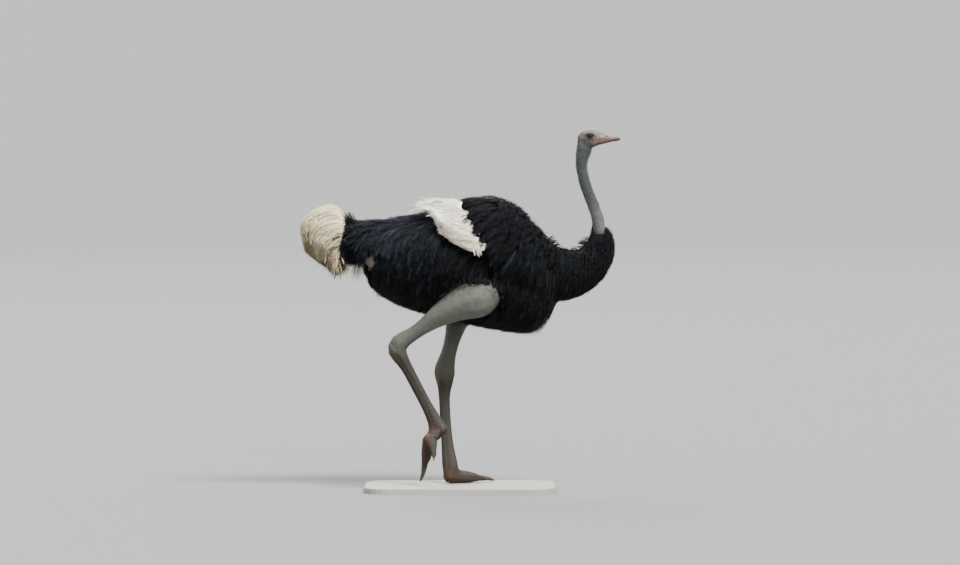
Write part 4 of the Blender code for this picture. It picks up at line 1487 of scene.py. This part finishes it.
def tuft_coat(name, material, slot, tufts, tint, seed):
    """A few loose plumes in tufts, the same on both sides."""
    rng = np.random.default_rng(seed)
    body = tree_of(BLACK_NODES + ("tail_plumes",) + WHITE_WINGS)
    coat = Coat((0, 0, 1.2))
    for place, heading, length, number, wide, out in tufts:
        lay = Lay(
            0.01, length, 0.4 * length, 14, web=0.0016, barb_width=0.0007, spread=24,
            fluff=0.20, rings=5,
        )
        share = np.linspace(0, 1, lay.rings)[None, :, None]
        for _, side in SIDES:
            start = np.array(place) + rng.normal(0, wide, (number, 3)) * (1, 0, 1)
            start[:, 1] = side * (place[1] + rng.uniform(0.0, out, number))
            start, normals, _ = nearest(body, start)
            ahead = np.array(heading) + 0.3 * normals
            ahead = unit(ahead + rng.normal(0, 0.20, (number, 3)))
            size = (length * rng.uniform(0.7, 1.2, number))[:, None, None]
            droop = DOWN * 0.30 * size * share ** 2
            spine = (start - normals * 0.008)[:, None] + ahead[:, None] * size * share + droop
            ups = np.repeat(normals[:, None], lay.rings, axis=1)
            light = rng.uniform(*tint, number)
            dress(coat, spine, ups, light, np.ones(number), lay, rng)
    return finish_piece(coat.to_object(name), slot, material)


def part_of_skin(skin, wanted):
    """The part of the skin whose points are wanted: its tree, points and triangles."""
    bm = bmesh_of(skin.data)
    others = [v for v in bm.verts if not wanted(v)]
    bmesh.ops.delete(bm, geom=others, context="VERTS")
    tree, points, faces = surface_of(bm)
    rank = points[faces] @ (1.0, 0.37, 0.71)  # the same order of triangles in every run
    turn = (rank.argmin(axis=1)[:, None] + np.arange(3)) % 3
    order = np.take_along_axis(rank, turn, axis=1).sum(axis=1).argsort()
    return tree, points, np.take_along_axis(faces, turn, axis=1)[order]


def down_core(name, node, voxel, depth, times, tone, material):
    """The dense down inside a mass of plumes: the solid, drawn in by that depth."""
    obj, points = smoothed(name, (node,), voxel, times)
    mesh = obj.data
    normals = normals_of(mesh)
    deep = np.minimum(depth, 0.35 * thickness_behind(mesh, points, normals))
    deep = spread(deep, edges_of(mesh), 4)
    set_points(mesh, points - normals * deep[:, None])
    paint_points(mesh, {"tint": np.clip(tone(points), 0, 1)})
    return finish_piece(obj, "white_plumage", material, (node,))


def core_down(name, core, flow, spacing, tone, material):
    """Short down on the core of a mass of plumes, which shows between their roots."""
    rng = np.random.default_rng(31)
    mesh = core.data
    roots = scatter(points_of(mesh), triangles_of(mesh), spacing, rng)
    places, normals, _ = nearest(tree_from(bmesh_of(mesh)), roots)
    heading = along_surface(flow(places, normals) + rng.normal(0, 0.30, roots.shape), normals)
    length = 0.030 * rng.uniform(0.6, 1.2, len(roots))[:, None]
    lift = rng.uniform(0.20, 0.50, len(roots))[:, None]
    width = rng.uniform(0.0006, 0.0011, len(roots))
    light = np.clip(tone(places) + rng.normal(0, 0.08, len(roots)), 0, 1)
    strands = (places - normals * 0.001, *bend(places, heading, normals, lift, length))
    looks, centre = ("white_plumage", material), places.mean(axis=0)
    return strand_piece(name, looks, centre, strands, normals, width, light, dull=0.8)


def even_tone(value):
    """A tone that is the same at every place."""
    return lambda places: np.full(len(places), value)


def white_wing(name, side, settings, material):
    """The white flight plumes of one wing, over a core of dense down."""
    node = "wing_plumes_" + name
    rng = np.random.default_rng(settings.seed + (10 if side > 0 else 20))
    core = down_core("down_wing_" + name, node, WING_NET, 0.009, 4, even_tone(0.6), material)
    core_down("coat_wing_down_" + name, core, wing_plume_flow, 0.0050, even_tone(0.7), material)
    tree, points, faces = shell_of((node,), WING_NET, 5)
    trunk = tree_of(("trunk", "wing_" + name))

    def keep(candidates):
        back = nearest(tree, candidates)[1][:, 0] < 0.6
        return back & (height_over(trunk, candidates) > -0.004)

    lay = Lay(
        settings.spacing * 0.7, settings.length, settings.barb, settings.barbs,
        depth=0.005, proud=-0.004, curl=0.005, sag=0.03, spread=22, wander=0.10, web=0.0022,
        barb_width=0.0007, fluff=0.07, tint=(0.10, 0.75), free=0.04,
    )
    roots = scatter(points, faces, lay.spacing, rng, keep)
    reach = np.clip(0.70 + 0.9 * (roots[:, 2] - 1.25), 0.5, 1.0)
    reach *= 1 - 0.45 * smooth_step(-0.10, -0.17, roots[:, 0])
    # Paler towards the top: painted light from above, over the creamier colour of the lower
    # plumes.
    tone = 0.10 + 0.55 * smooth_step(1.25, 1.40, roots[:, 2])
    coat = Coat(centre_of(node))
    lay_plumes(coat, roots, tree, wing_plume_flow, reach, lay, rng, tone)
    return finish_piece(coat.to_object("coat_wing_plumes_" + name), "white_plumage", material)


def tail_tone(places):
    """Tail paler above, in part painted light, white at its root, and stained with earth in bands
    behind.
    """
    x, _, z = places.T
    # Paler upwards: in part the tail's own white, in part painted light from above.
    tone = 3.0 * (x - TAIL_END + 0.12) + 2.2 * (z - 1.22)
    arcs = np.sin(math.tau / 0.040 * np.hypot(x - TAIL_END, z - 1.33))
    behind = smooth_step(TAIL_END - 0.05, TAIL_END - 0.12, x)
    return np.clip(tone + 0.16 * arcs * behind, 0, 1)


def white_tail(settings, material):
    """The drooping white tail in two pieces, over a core of dense down."""
    rng = np.random.default_rng(settings.seed + 30)
    core = down_core("down_tail", "tail_plumes", TAIL_NET, 0.020, 8, tail_tone, material)
    core_down("coat_tail_down", core, tail_flow, 0.0058, tail_tone, material)
    tree, points, faces = shell_of(("tail_plumes",), TAIL_NET, 6)
    tail = tree_of(("tail",))

    def keep(candidates):
        return height_over(tail, candidates) > -0.010

    lay = Lay(
        settings.spacing, settings.length * 1.35, settings.barb * 1.2, settings.barbs,
        depth=0.012, proud=-0.004, curl=0.012, sag=0.28, spread=26, wander=0.12, web=0.0025,
        barb_width=0.0009, fluff=0.10, tint=(-0.12, 0.22),
    )
    roots = scatter(points, faces, lay.spacing, rng, keep)
    tone = tail_tone(roots) + 0.08 * waves(roots, 0.05, rng)
    for label, inside in (("left", roots[:, 1] > 0), ("right", roots[:, 1] <= 0)):
        coat = Coat(centre_of("tail_plumes"))
        full = np.ones(inside.sum())
        lay_plumes(coat, roots[inside], tree, tail_flow, full, lay, rng, tone[inside])
        finish_piece(coat.to_object("coat_tail_" + label), "white_plumage", material)


def neck_flow(places, normals):
    """Bristles point back over the head and down the neck."""
    head = smooth_step(1.70, 1.78, places[:, 2])
    return unit(mix(np.array((-0.1, 0, -1.0)), (-1.0, 0, -0.35), head))


def bristle_coat(skin, settings, material):
    """Sparse pale bristles on the neck, and shorter and thicker ones on the head."""
    rng = np.random.default_rng(settings.seed + 40)
    tree, points, faces = part_of_skin(skin, lambda v: v.co.x > 0.5 and v.co.z > COLLAR - 0.03)

    def keep(candidates):
        clear = (lid_distance(candidates) > 0.003) | (np.abs(candidates[:, 1]) < 0.025)
        above = candidates[:, 2] > collar_height(candidates)
        off_bill = (candidates[:, 0] < BILL_ROOT + 0.002) | (candidates[:, 2] < CHIN - 0.02)
        return clear & above & off_bill

    roots = scatter(points, faces, settings.bristle_spacing, rng, keep)
    places, normals, _ = nearest(tree, roots)
    heading = along_surface(neck_flow(places, normals), normals)
    heading = unit(heading + rng.normal(0, 0.16, roots.shape))
    head = smooth_step(1.73, 1.77, roots[:, 2])
    crown = head * smooth_step(0.1, 0.8, normals[:, 2])
    eye_gap = np.linalg.norm(on_left(roots) - np.array(EYE), axis=1)
    by_eye = 1 - smooth_step(0.018, 0.030, eye_gap)
    length = 0.0100 - 0.0035 * head + 0.003 * crown - 0.003 * by_eye
    length = (length * rng.uniform(0.6, 1.3, len(roots)))[:, None]
    lift = (0.24 + 0.14 * rng.random(len(roots)))[:, None]
    base = roots - normals * 0.0006
    strands = (base, *bend(base, heading, normals, lift, length, 0.3))
    width = 0.00026 + 0.00014 * crown
    # Paler at the neck's front and back edges, painted rim light; darker by the eye, with its
    # painted shade.
    edges = smooth_step(0.65, 0.90, np.abs(normals[:, 0])) * (1 - head)
    tone = 0.13 + 0.25 * head + 0.25 * crown + 0.35 * edges - 0.35 * by_eye
    tone = np.clip(tone + rng.normal(0, 0.12, len(roots)), 0, 1)
    looks = ("bare_skin", material)
    return strand_piece(
        "coat_bristles", looks, HEAD_MIDDLE, strands, normals, width, tone, flat=0.8, dull=0.8
    )


def lash_coat(skin, material):
    """The stiff black lashes of the upper lids."""
    rng = np.random.default_rng(17)
    tree = part_of_skin(skin, lambda v: v.co.x > 0.5 and v.co.z > EYE.z - 0.03)[0]
    length, height = LID_OPENING
    radius = arc_radius(length, height)
    coat = Coat(HEAD_MIDDLE)
    for _, side in SIDES:
        turn = rng.uniform(-0.80, 0.92, 54) * math.asin(length / radius)
        x = EYE.x + (radius + 0.0008) * np.sin(turn)
        z = EYE.z + (radius + 0.0008) * np.cos(turn) - radius + height
        base, normals, _ = nearest(tree, heading_of(x, side * 0.045, z))
        lean = heading_of(1.3 * np.sin(turn) + rng.normal(0, 0.12, len(x)), 0, 0.25)
        out = unit(normals + lean)
        reach = rng.uniform(0.0065, 0.0100, len(x))[:, None]
        middle = base + out * reach * 0.55
        tip = middle + unit(out + (-0.2, 0, 0.9)) * reach * 0.45
        width = np.full(len(x), 0.00022)
        root, dark = base - out * 0.001, np.zeros(len(x))
        add_strands(coat, root, middle, tip, normals, width, width, dark, dark + 0.1)
    return finish_piece(coat.to_object("coat_lashes"), "black_plumage", material)


def stubble_coat(skin, material):
    """Dark stubble on the bare thighs, longer and closer along the edge of the plumage."""
    rng = np.random.default_rng(23)
    values = read_array(skin.data.attributes["stipple"].data, "value", 1)[:, 0]
    _, points, faces = part_of_skin(skin, lambda v: values[v.index] > 0.25)
    feathered = tree_of(BLACK_NODES)

    def keep(candidates):
        hem = smooth_step(0.100, 0.020, nearest(feathered, candidates)[2])
        return rng.random(len(candidates)) < 0.40 + 0.60 * hem

    roots = scatter(points, faces, 0.0046, rng, keep)
    places, normals, _ = nearest(tree_from(bmesh_of(skin.data)), roots)
    hem = smooth_step(0.080, 0.004, nearest(feathered, roots)[2])
    heading = along_surface((-0.7, 0.0, -0.8) + rng.normal(0, 0.25, roots.shape), normals)
    length = ((0.0065 + 0.020 * hem) * rng.uniform(0.6, 1.3, len(roots)))[:, None]
    lift = rng.uniform(0.10, 0.30, len(roots))[:, None]
    base = places - normals * 0.0008
    width = rng.uniform(0.0006, 0.0011, len(roots))
    tone = np.clip(rng.normal(0.35, 0.2, len(roots)), 0, 1)
    strands = (base, *bend(base, heading, normals, lift, length))
    looks = ("black_plumage", material)
    return strand_piece("coat_stubble", looks, (0.0, 0, 1.0), strands, normals, width, tone)


# Eyes, bill, claws and stand ---------------------------------------------------------------

IRIS_REACH = 0.020  # how far from its middle the eye's colours run
CORNEA_RISE = 0.0009
BILL_NET = 0.0009
BILL_TRIANGLES = 16000  # about how many each half keeps
CLAW_NET = 0.0012


def eye_material():
    """A dark brown iris round a black pupil, under a clear wet coat."""
    material, tree, shader = new_material("ostrich_eye", 0.22, (
        ("Specular IOR Level", 0.0), ("Coat Weight", 1.0), ("Coat Roughness", 0.03),
        ("Coat IOR", 1.28),
    ))
    place = object_place(tree)
    centre = add_node(tree, "Mapping", place, Location=(-EYE.x, 0, -EYE.z), Scale=(1, 0, 1))
    length = add_node(tree, "VectorMath")
    length.operation = "LENGTH"
    tree.links.new(centre.outputs["Vector"], length.inputs[0])
    share = maths(tree, "DIVIDE", length.outputs["Value"], IRIS_REACH)
    colour = add_ramp(tree, share, (
        (0.0, (0.001, 0.001, 0.001)), (0.275, (0.001, 0.001, 0.001)),
        (0.31, (0.026, 0.012, 0.006)), (0.52, (0.014, 0.006, 0.004)),
        (0.60, (0.006, 0.004, 0.004)), (1.0, (0.015, 0.010, 0.010)),
    ))
    tree.links.new(colour, shader.inputs["Base Color"])
    return material


def make_eye(name, side, material):
    """An eyeball with a clear bulge of cornea in front of the iris."""
    bm = bmesh.new()
    turn = Matrix.Rotation(-math.pi / 2 * side, 4, "X")
    middle = Vector((EYE.x, EYE.y * side, EYE.z))
    place = Matrix.Translation(middle) @ turn
    bmesh.ops.create_uvsphere(
        bm, u_segments=48, v_segments=32, radius=EYE_RADIUS - 0.0002, matrix=place
    )
    for vert in bm.verts:
        reach = (vert.co - middle).normalized()
        bulge = smooth_step(0.84, 0.98, reach.y * side)
        vert.co += reach * float(CORNEA_RISE * bulge)
    return finish_piece(orderly(bm, "eyeball_" + name), "eye", material, ("eye_" + name,))


def make_bill(upper, material):
    """One half of the bill: nostril, cutting edge and the nail at its tip."""
    half = "upper" if upper else "lower"
    node = "bill_" + half
    obj, _ = smoothed("bill_half_" + half, (node,), BILL_NET, 26)
    mesh = obj.data
    points = points_of(mesh)
    normals = normals_of(mesh)
    x, y, z = points.T
    rise = 0.0006 - 0.0020 * smooth_step(BILL_ROOT + 0.008, BILL_ROOT, x)
    span = BILL_TIP - BILL_ROOT
    if upper:
        nostril_x = BILL_ROOT + 0.36 * span
        nostril_z = CHIN + 0.62 * (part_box(node)[1].z - CHIN)
        slant = z - nostril_z + 0.30 * (x - nostril_x)
        nostril = np.exp(-((x - nostril_x) / 0.010) ** 2 - (slant / 0.0026) ** 2)
        rise -= 0.0030 * nostril * smooth_step(0.3, 0.8, np.abs(normals[:, 1]))
        rim = np.exp(-((x - nostril_x) / 0.013) ** 2 - ((slant - 0.0042) / 0.002) ** 2)
        rise += 0.0008 * rim
        nail = smooth_step(BILL_TIP - 0.030, BILL_TIP - 0.026, x)
        rise += 0.0008 * nail
        ridge = hump(y, 0, 0.006) * smooth_step(0.3, 0.8, normals[:, 2])
        rise += 0.0007 * ridge * (1 - nail)
    else:
        nail = smooth_step(BILL_TIP - 0.026, BILL_TIP - 0.022, x)
        rise += 0.0006 * nail
    set_points(mesh, points + normals * rise[:, None])
    colour = bill_paint(points_of(mesh), normals_of(mesh))
    if upper:
        # The nostril is dark: painted shade in its opening.
        colour = mix(colour, DARK_SEAM_AND_SHADE, 0.85 * np.clip(nostril, 0, 1))
    paint_points(mesh, {"skin_colour": (colour, np.ones(len(points)))})
    thin_out(obj, BILL_TRIANGLES)
    return finish_piece(obj, "bill_horn", material, (node,))


def board_material():
    """Painted board, its colour a little uneven, with a fine grain."""
    material, tree, shader = new_material("painted_board", 0.62)
    place = object_place(tree)
    soft = add_mottle(tree, paint(0.50, 0.49, 0.46), place, 9.0, 0.05)
    tree.links.new(soft.outputs["Colour"], shader.inputs["Base Color"])
    grain = add_node(tree, "TexNoise", place, Scale=420.0)
    add_bump(tree, shader, grain.outputs["Fac"], 0.12, 0.0006)
    return material


def turn_towards(heading):
    """The turn that points an object's own Z that way."""
    return Vector(heading).to_track_quat("Z", "Y").to_euler()


def make_stage(settings):
    """A pale floor, soft lights and a long lens far off to the bird's right."""
    bm = bmesh.new()
    flat, round_off = 36.0, 14.0  # how far the floor runs level, and the bend at its end
    profile = [(0.0, 0.0), (flat, 0.0)]
    for k in range(1, 13):
        angle = k / 12 * math.pi / 2
        rise = round_off - round_off * math.cos(angle)
        profile.append((flat + round_off * math.sin(angle), rise))
    corners = [bm.verts.new((reach, 0, height)) for reach, height in profile]
    line = [bm.edges.new(pair) for pair in zip(corners, corners[1:])]
    bmesh.ops.spin(
        bm, geom=corners + line, cent=(0, 0, 0), axis=(0, 0, 1), angle=math.tau, steps=96,
        use_merge=True,
    )
    bmesh.ops.remove_doubles(bm, verts=bm.verts, dist=1e-4)
    bmesh.ops.recalc_face_normals(bm, faces=bm.faces)
    floor = object_from(bm, "studio_floor")
    floor.data.shade_smooth()
    material, _, shader = new_material("studio_floor", 0.9)
    shader.inputs["Base Color"].default_value = (*settings.floor_colour, 1)
    floor.data.materials.append(material)

    world = bpy.data.worlds.new("studio")
    world.use_nodes = True
    background = world.node_tree.nodes["Background"]
    background.inputs["Color"].default_value = (0.86, 0.88, 0.90, 1)
    background.inputs["Strength"].default_value = settings.fill
    bpy.context.scene.world = world
    for name, heading, share, angle in (
        ("key_light", (0.42, -0.60, 0.95), 1.0, 18),
        ("front_light", (0.15, -1.0, 0.15), 0.24, 40),
        ("back_light", (-0.4, 0.8, 0.8), 0.25, 40),
    ):
        light = bpy.data.lights.new(name, "SUN")
        light.energy = settings.key * share
        light.angle = math.radians(angle)
        new_object(name, light).rotation_euler = turn_towards(heading)

    data = bpy.data.cameras.new("camera")
    data.lens = settings.lens
    data.clip_end = 400
    camera = new_object("camera", data)
    aim = Vector(settings.aim)
    camera.location = aim + Vector((0, -settings.distance, settings.camera_rise))
    camera.rotation_euler = turn_towards(camera.location - aim)
    bpy.context.scene.camera = camera


# The add-on --------------------------------------------------------------------------------


def measure(name, description, default, **more):
    """A property with a length for its value."""
    return FloatProperty(
        name=name, description=description, default=default, unit="LENGTH", **more
    )


class OstrichSkinSettings(bpy.types.PropertyGroup):
    coat_depth: measure("Coat Depth", "How deep the flesh lies under the plumage", 0.022, min=0)
    head_net: measure("Head Net", "Fineness of the head and neck", 0.0013, min=0.0005)
    leg_net: measure("Leg Net", "Fineness of the legs", 0.0028, min=0.001)
    faces: IntProperty(
        name="Triangles", description="About how many triangles the skin keeps",
        default=185000, min=20000,
    )
    seed: IntProperty(name="Seed", description="Picks the folds and muscles", default=3)


class OstrichCoatSettings(bpy.types.PropertyGroup):
    length: measure("Plume Length", "Length of a body plume", 0.150)
    barb: measure("Barb Length", "Length of its longest barbs", 0.048)
    spacing: measure("Plume Spacing", "Distance between two roots", 0.0235)
    barbs: IntProperty(name="Barbs", description="Barbs on each side of a plume", default=34)
    down_spacing: measure("Down Spacing", "Distance between two strands of down", 0.0085)
    seed: IntProperty(name="Seed", description="Picks the roots", default=7)


class OstrichWhiteSettings(bpy.types.PropertyGroup):
    length: measure("Plume Length", "Length of a white plume", 0.110)
    barb: measure("Barb Length", "Length of its longest barbs", 0.036)
    spacing: measure("Plume Spacing", "Distance between two roots", 0.0175)
    barbs: IntProperty(name="Barbs", description="Barbs on each side of a plume", default=16)
    bristle_spacing: measure("Bristle Spacing", "Distance between two bristles", 0.0028)
    seed: IntProperty(name="Seed", description="Picks the roots", default=11)


class OstrichStageSettings(bpy.types.PropertyGroup):
    aim: FloatVectorProperty(
        name="Aim", description="The point that the camera looks at",
        default=(0.101, 0, 1.053), subtype="XYZ", unit="LENGTH",
    )
    distance: measure("Distance", "From the camera to the bird", 28)
    camera_rise: measure("Camera Rise", "Height of the camera over its aim", 1.123)
    lens: FloatProperty(name="Lens", description="Focal length", default=208, unit="CAMERA")
    key: FloatProperty(name="Key", description="Strength of the main light", default=12.0)
    fill: FloatProperty(name="Fill", description="Strength of the light all round", default=2.45)
    floor_colour: FloatVectorProperty(
        name="Floor", description="Colour of the floor", default=(0.128, 0.128, 0.125),
        subtype="COLOR",
    )


class OSTRICH_OT_skin(bpy.types.Operator):
    """Makes the one skin from bill to toes, under the feathers and bare on neck and legs"""

    bl_idname = "ostrich.skin"
    bl_label = "Skin"

    def execute(self, context):
        settings = context.scene.ostrich_skin
        rng = np.random.default_rng(settings.seed)
        skin = body_core(settings.coat_depth)
        pieces = [head_and_neck(settings.head_net, rng)]
        pieces += [leg_skin(name, settings.leg_net, rng) for name, _ in SIDES]
        for piece in pieces:
            combine(skin, piece, "UNION")
        skin.name = skin.data.name = "skin"
        thin_out(skin, settings.faces)
        paint_points(skin.data, skin_paint(points_of(skin.data), normals_of(skin.data)))
        nodes = ["head", "neck", "neck_ruff", "trunk", "tail"]
        nodes += [part + name for name, _ in SIDES for part in ("wing_", *LEG_PARTS)]
        finish_piece(skin, "bare_skin", skin_material(), nodes)
        return {"FINISHED"}


class OSTRICH_OT_black_coat(bpy.types.Operator):
    """Lays the black body plumage"""

    bl_idname = "ostrich.black_coat"
    bl_label = "Black Plumage"

    def execute(self, context):
        # Its pale end is bluish: the colour of paler plumes and of the painted sheen on back and
        # rump.
        black = plumage_material(
            "black_plume", (0.0031, 0.0033, 0.0037), (0.027, 0.032, 0.042), 0.55, 0.0
        )
        black_coat(context.scene.ostrich_coat, black)
        collar_coat(bpy.data.objects["skin"], black)
        under_down(bpy.data.objects["skin"], context.scene.ostrich_coat, black)
        tuft_coat("coat_black_tips", black, "black_plumage", BLACK_TUFTS, (0.0, 0.3), 9)
        return {"FINISHED"}


class OSTRICH_OT_white_coat(bpy.types.Operator):
    """Lays the white flight plumes and the tail"""

    bl_idname = "ostrich.white_coat"
    bl_label = "White Plumes"

    def execute(self, context):
        settings = context.scene.ostrich_white
        white = plumage_material(
            "white_plume", paint(0.76, 0.68, 0.50), paint(1.0, 0.995, 0.965), 0.75, 0.1
        )
        cream = plumage_material(
            "cream_plume", paint(0.36, 0.24, 0.105), paint(1.0, 0.97, 0.81), 0.75, 0.1
        )
        for name, side in SIDES:
            white_wing(name, side, settings, white)
        white_tail(settings, cream)
        for name, tufts, material, tint, seed in (
            ("coat_under_tips", WHITE_TUFTS, white, (0.6, 1.0), 60),
            ("coat_wing_tips", WING_TUFTS, white, (0.6, 1.0), 61),
            ("coat_tail_tips", TAIL_TUFTS, cream, (0.25, 0.65), 62),
        ):
            tuft_coat(name, material, "white_plumage", tufts, tint, seed)
        return {"FINISHED"}


class OSTRICH_OT_bristles(bpy.types.Operator):
    """Strews the bristles of the neck and head"""

    bl_idname = "ostrich.bristles"
    bl_label = "Bristles"

    def execute(self, context):
        pale = plumage_material(
            "bristle", paint(0.27, 0.28, 0.28), paint(0.88, 0.89, 0.85), 0.7, 0.1
        )
        bristle_coat(bpy.data.objects["skin"], context.scene.ostrich_white, pale)
        lash_coat(bpy.data.objects["skin"], bpy.data.materials["black_plume"])
        stubble_coat(bpy.data.objects["skin"], bpy.data.materials["black_plume"])
        return {"FINISHED"}


class OSTRICH_OT_eyes(bpy.types.Operator):
    """Makes both eyeballs"""

    bl_idname = "ostrich.eyes"
    bl_label = "Eyes"

    def execute(self, context):
        material = eye_material()
        for name, side in SIDES:
            make_eye(name, side, material)
        return {"FINISHED"}


class OSTRICH_OT_horn(bpy.types.Operator):
    """Makes the bill and the claws"""

    bl_idname = "ostrich.horn"
    bl_label = "Bill and Claws"

    def execute(self, context):
        bill = bill_material()
        for upper in (True, False):
            make_bill(upper, bill)
        claws = claw_material()
        for name, _ in SIDES:
            for toe in ("inner_" + name, "outer_" + name):
                claw, _ = smoothed("nail_" + toe, ("claw_" + toe,), CLAW_NET, 8)
                finish_piece(claw, "claw_horn", claws, ("claw_" + toe,))
        return {"FINISHED"}


class OSTRICH_OT_stand(bpy.types.Operator):
    """Paints the display base"""

    bl_idname = "ostrich.stand"
    bl_label = "Display Base"

    def execute(self, context):
        board = board_material()
        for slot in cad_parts["stand_base"].material_slots:
            slot.material = board
        return {"FINISHED"}


class OSTRICH_OT_stage(bpy.types.Operator):
    """Sets the floor, the lights and the camera"""

    bl_idname = "ostrich.stage"
    bl_label = "Stage"

    def execute(self, context):
        make_stage(context.scene.ostrich_stage)
        return {"FINISHED"}


class OSTRICH_PT_panel(bpy.types.Panel):
    bl_label = "Ostrich"
    bl_idname = "OSTRICH_PT_panel"
    bl_space_type = "VIEW_3D"
    bl_region_type = "UI"
    bl_category = "Ostrich"

    def draw(self, context):
        for name in SETTINGS:
            group = getattr(context.scene, name)
            for key in group.bl_rna.properties.keys():
                if key not in ("rna_type", "name"):
                    self.layout.prop(group, key)
        for operator in OPERATORS:
            self.layout.operator(operator.bl_idname)


SETTINGS = {
    "ostrich_skin": OstrichSkinSettings,
    "ostrich_coat": OstrichCoatSettings,
    "ostrich_white": OstrichWhiteSettings,
    "ostrich_stage": OstrichStageSettings,
}
OPERATORS = (
    OSTRICH_OT_skin, OSTRICH_OT_black_coat, OSTRICH_OT_white_coat, OSTRICH_OT_bristles,
    OSTRICH_OT_eyes, OSTRICH_OT_horn, OSTRICH_OT_stand, OSTRICH_OT_stage,
)
CLASSES = (*SETTINGS.values(), *OPERATORS, OSTRICH_PT_panel)


def register():
    for cls in CLASSES:
        bpy.utils.register_class(cls)
    for name, group in SETTINGS.items():
        setattr(bpy.types.Scene, name, PointerProperty(type=group))


def unregister():
    for name in SETTINGS:
        delattr(bpy.types.Scene, name)
    for cls in reversed(CLASSES):
        bpy.utils.unregister_class(cls)


def main():
    register()
    bpy.ops.ostrich.skin()
    bpy.ops.ostrich.black_coat()
    bpy.ops.ostrich.white_coat()
    bpy.ops.ostrich.bristles()
    bpy.ops.ostrich.eyes()
    bpy.ops.ostrich.horn()
    bpy.ops.ostrich.stand()
    bpy.ops.ostrich.stage()


if __name__ == "__main__":
    main()
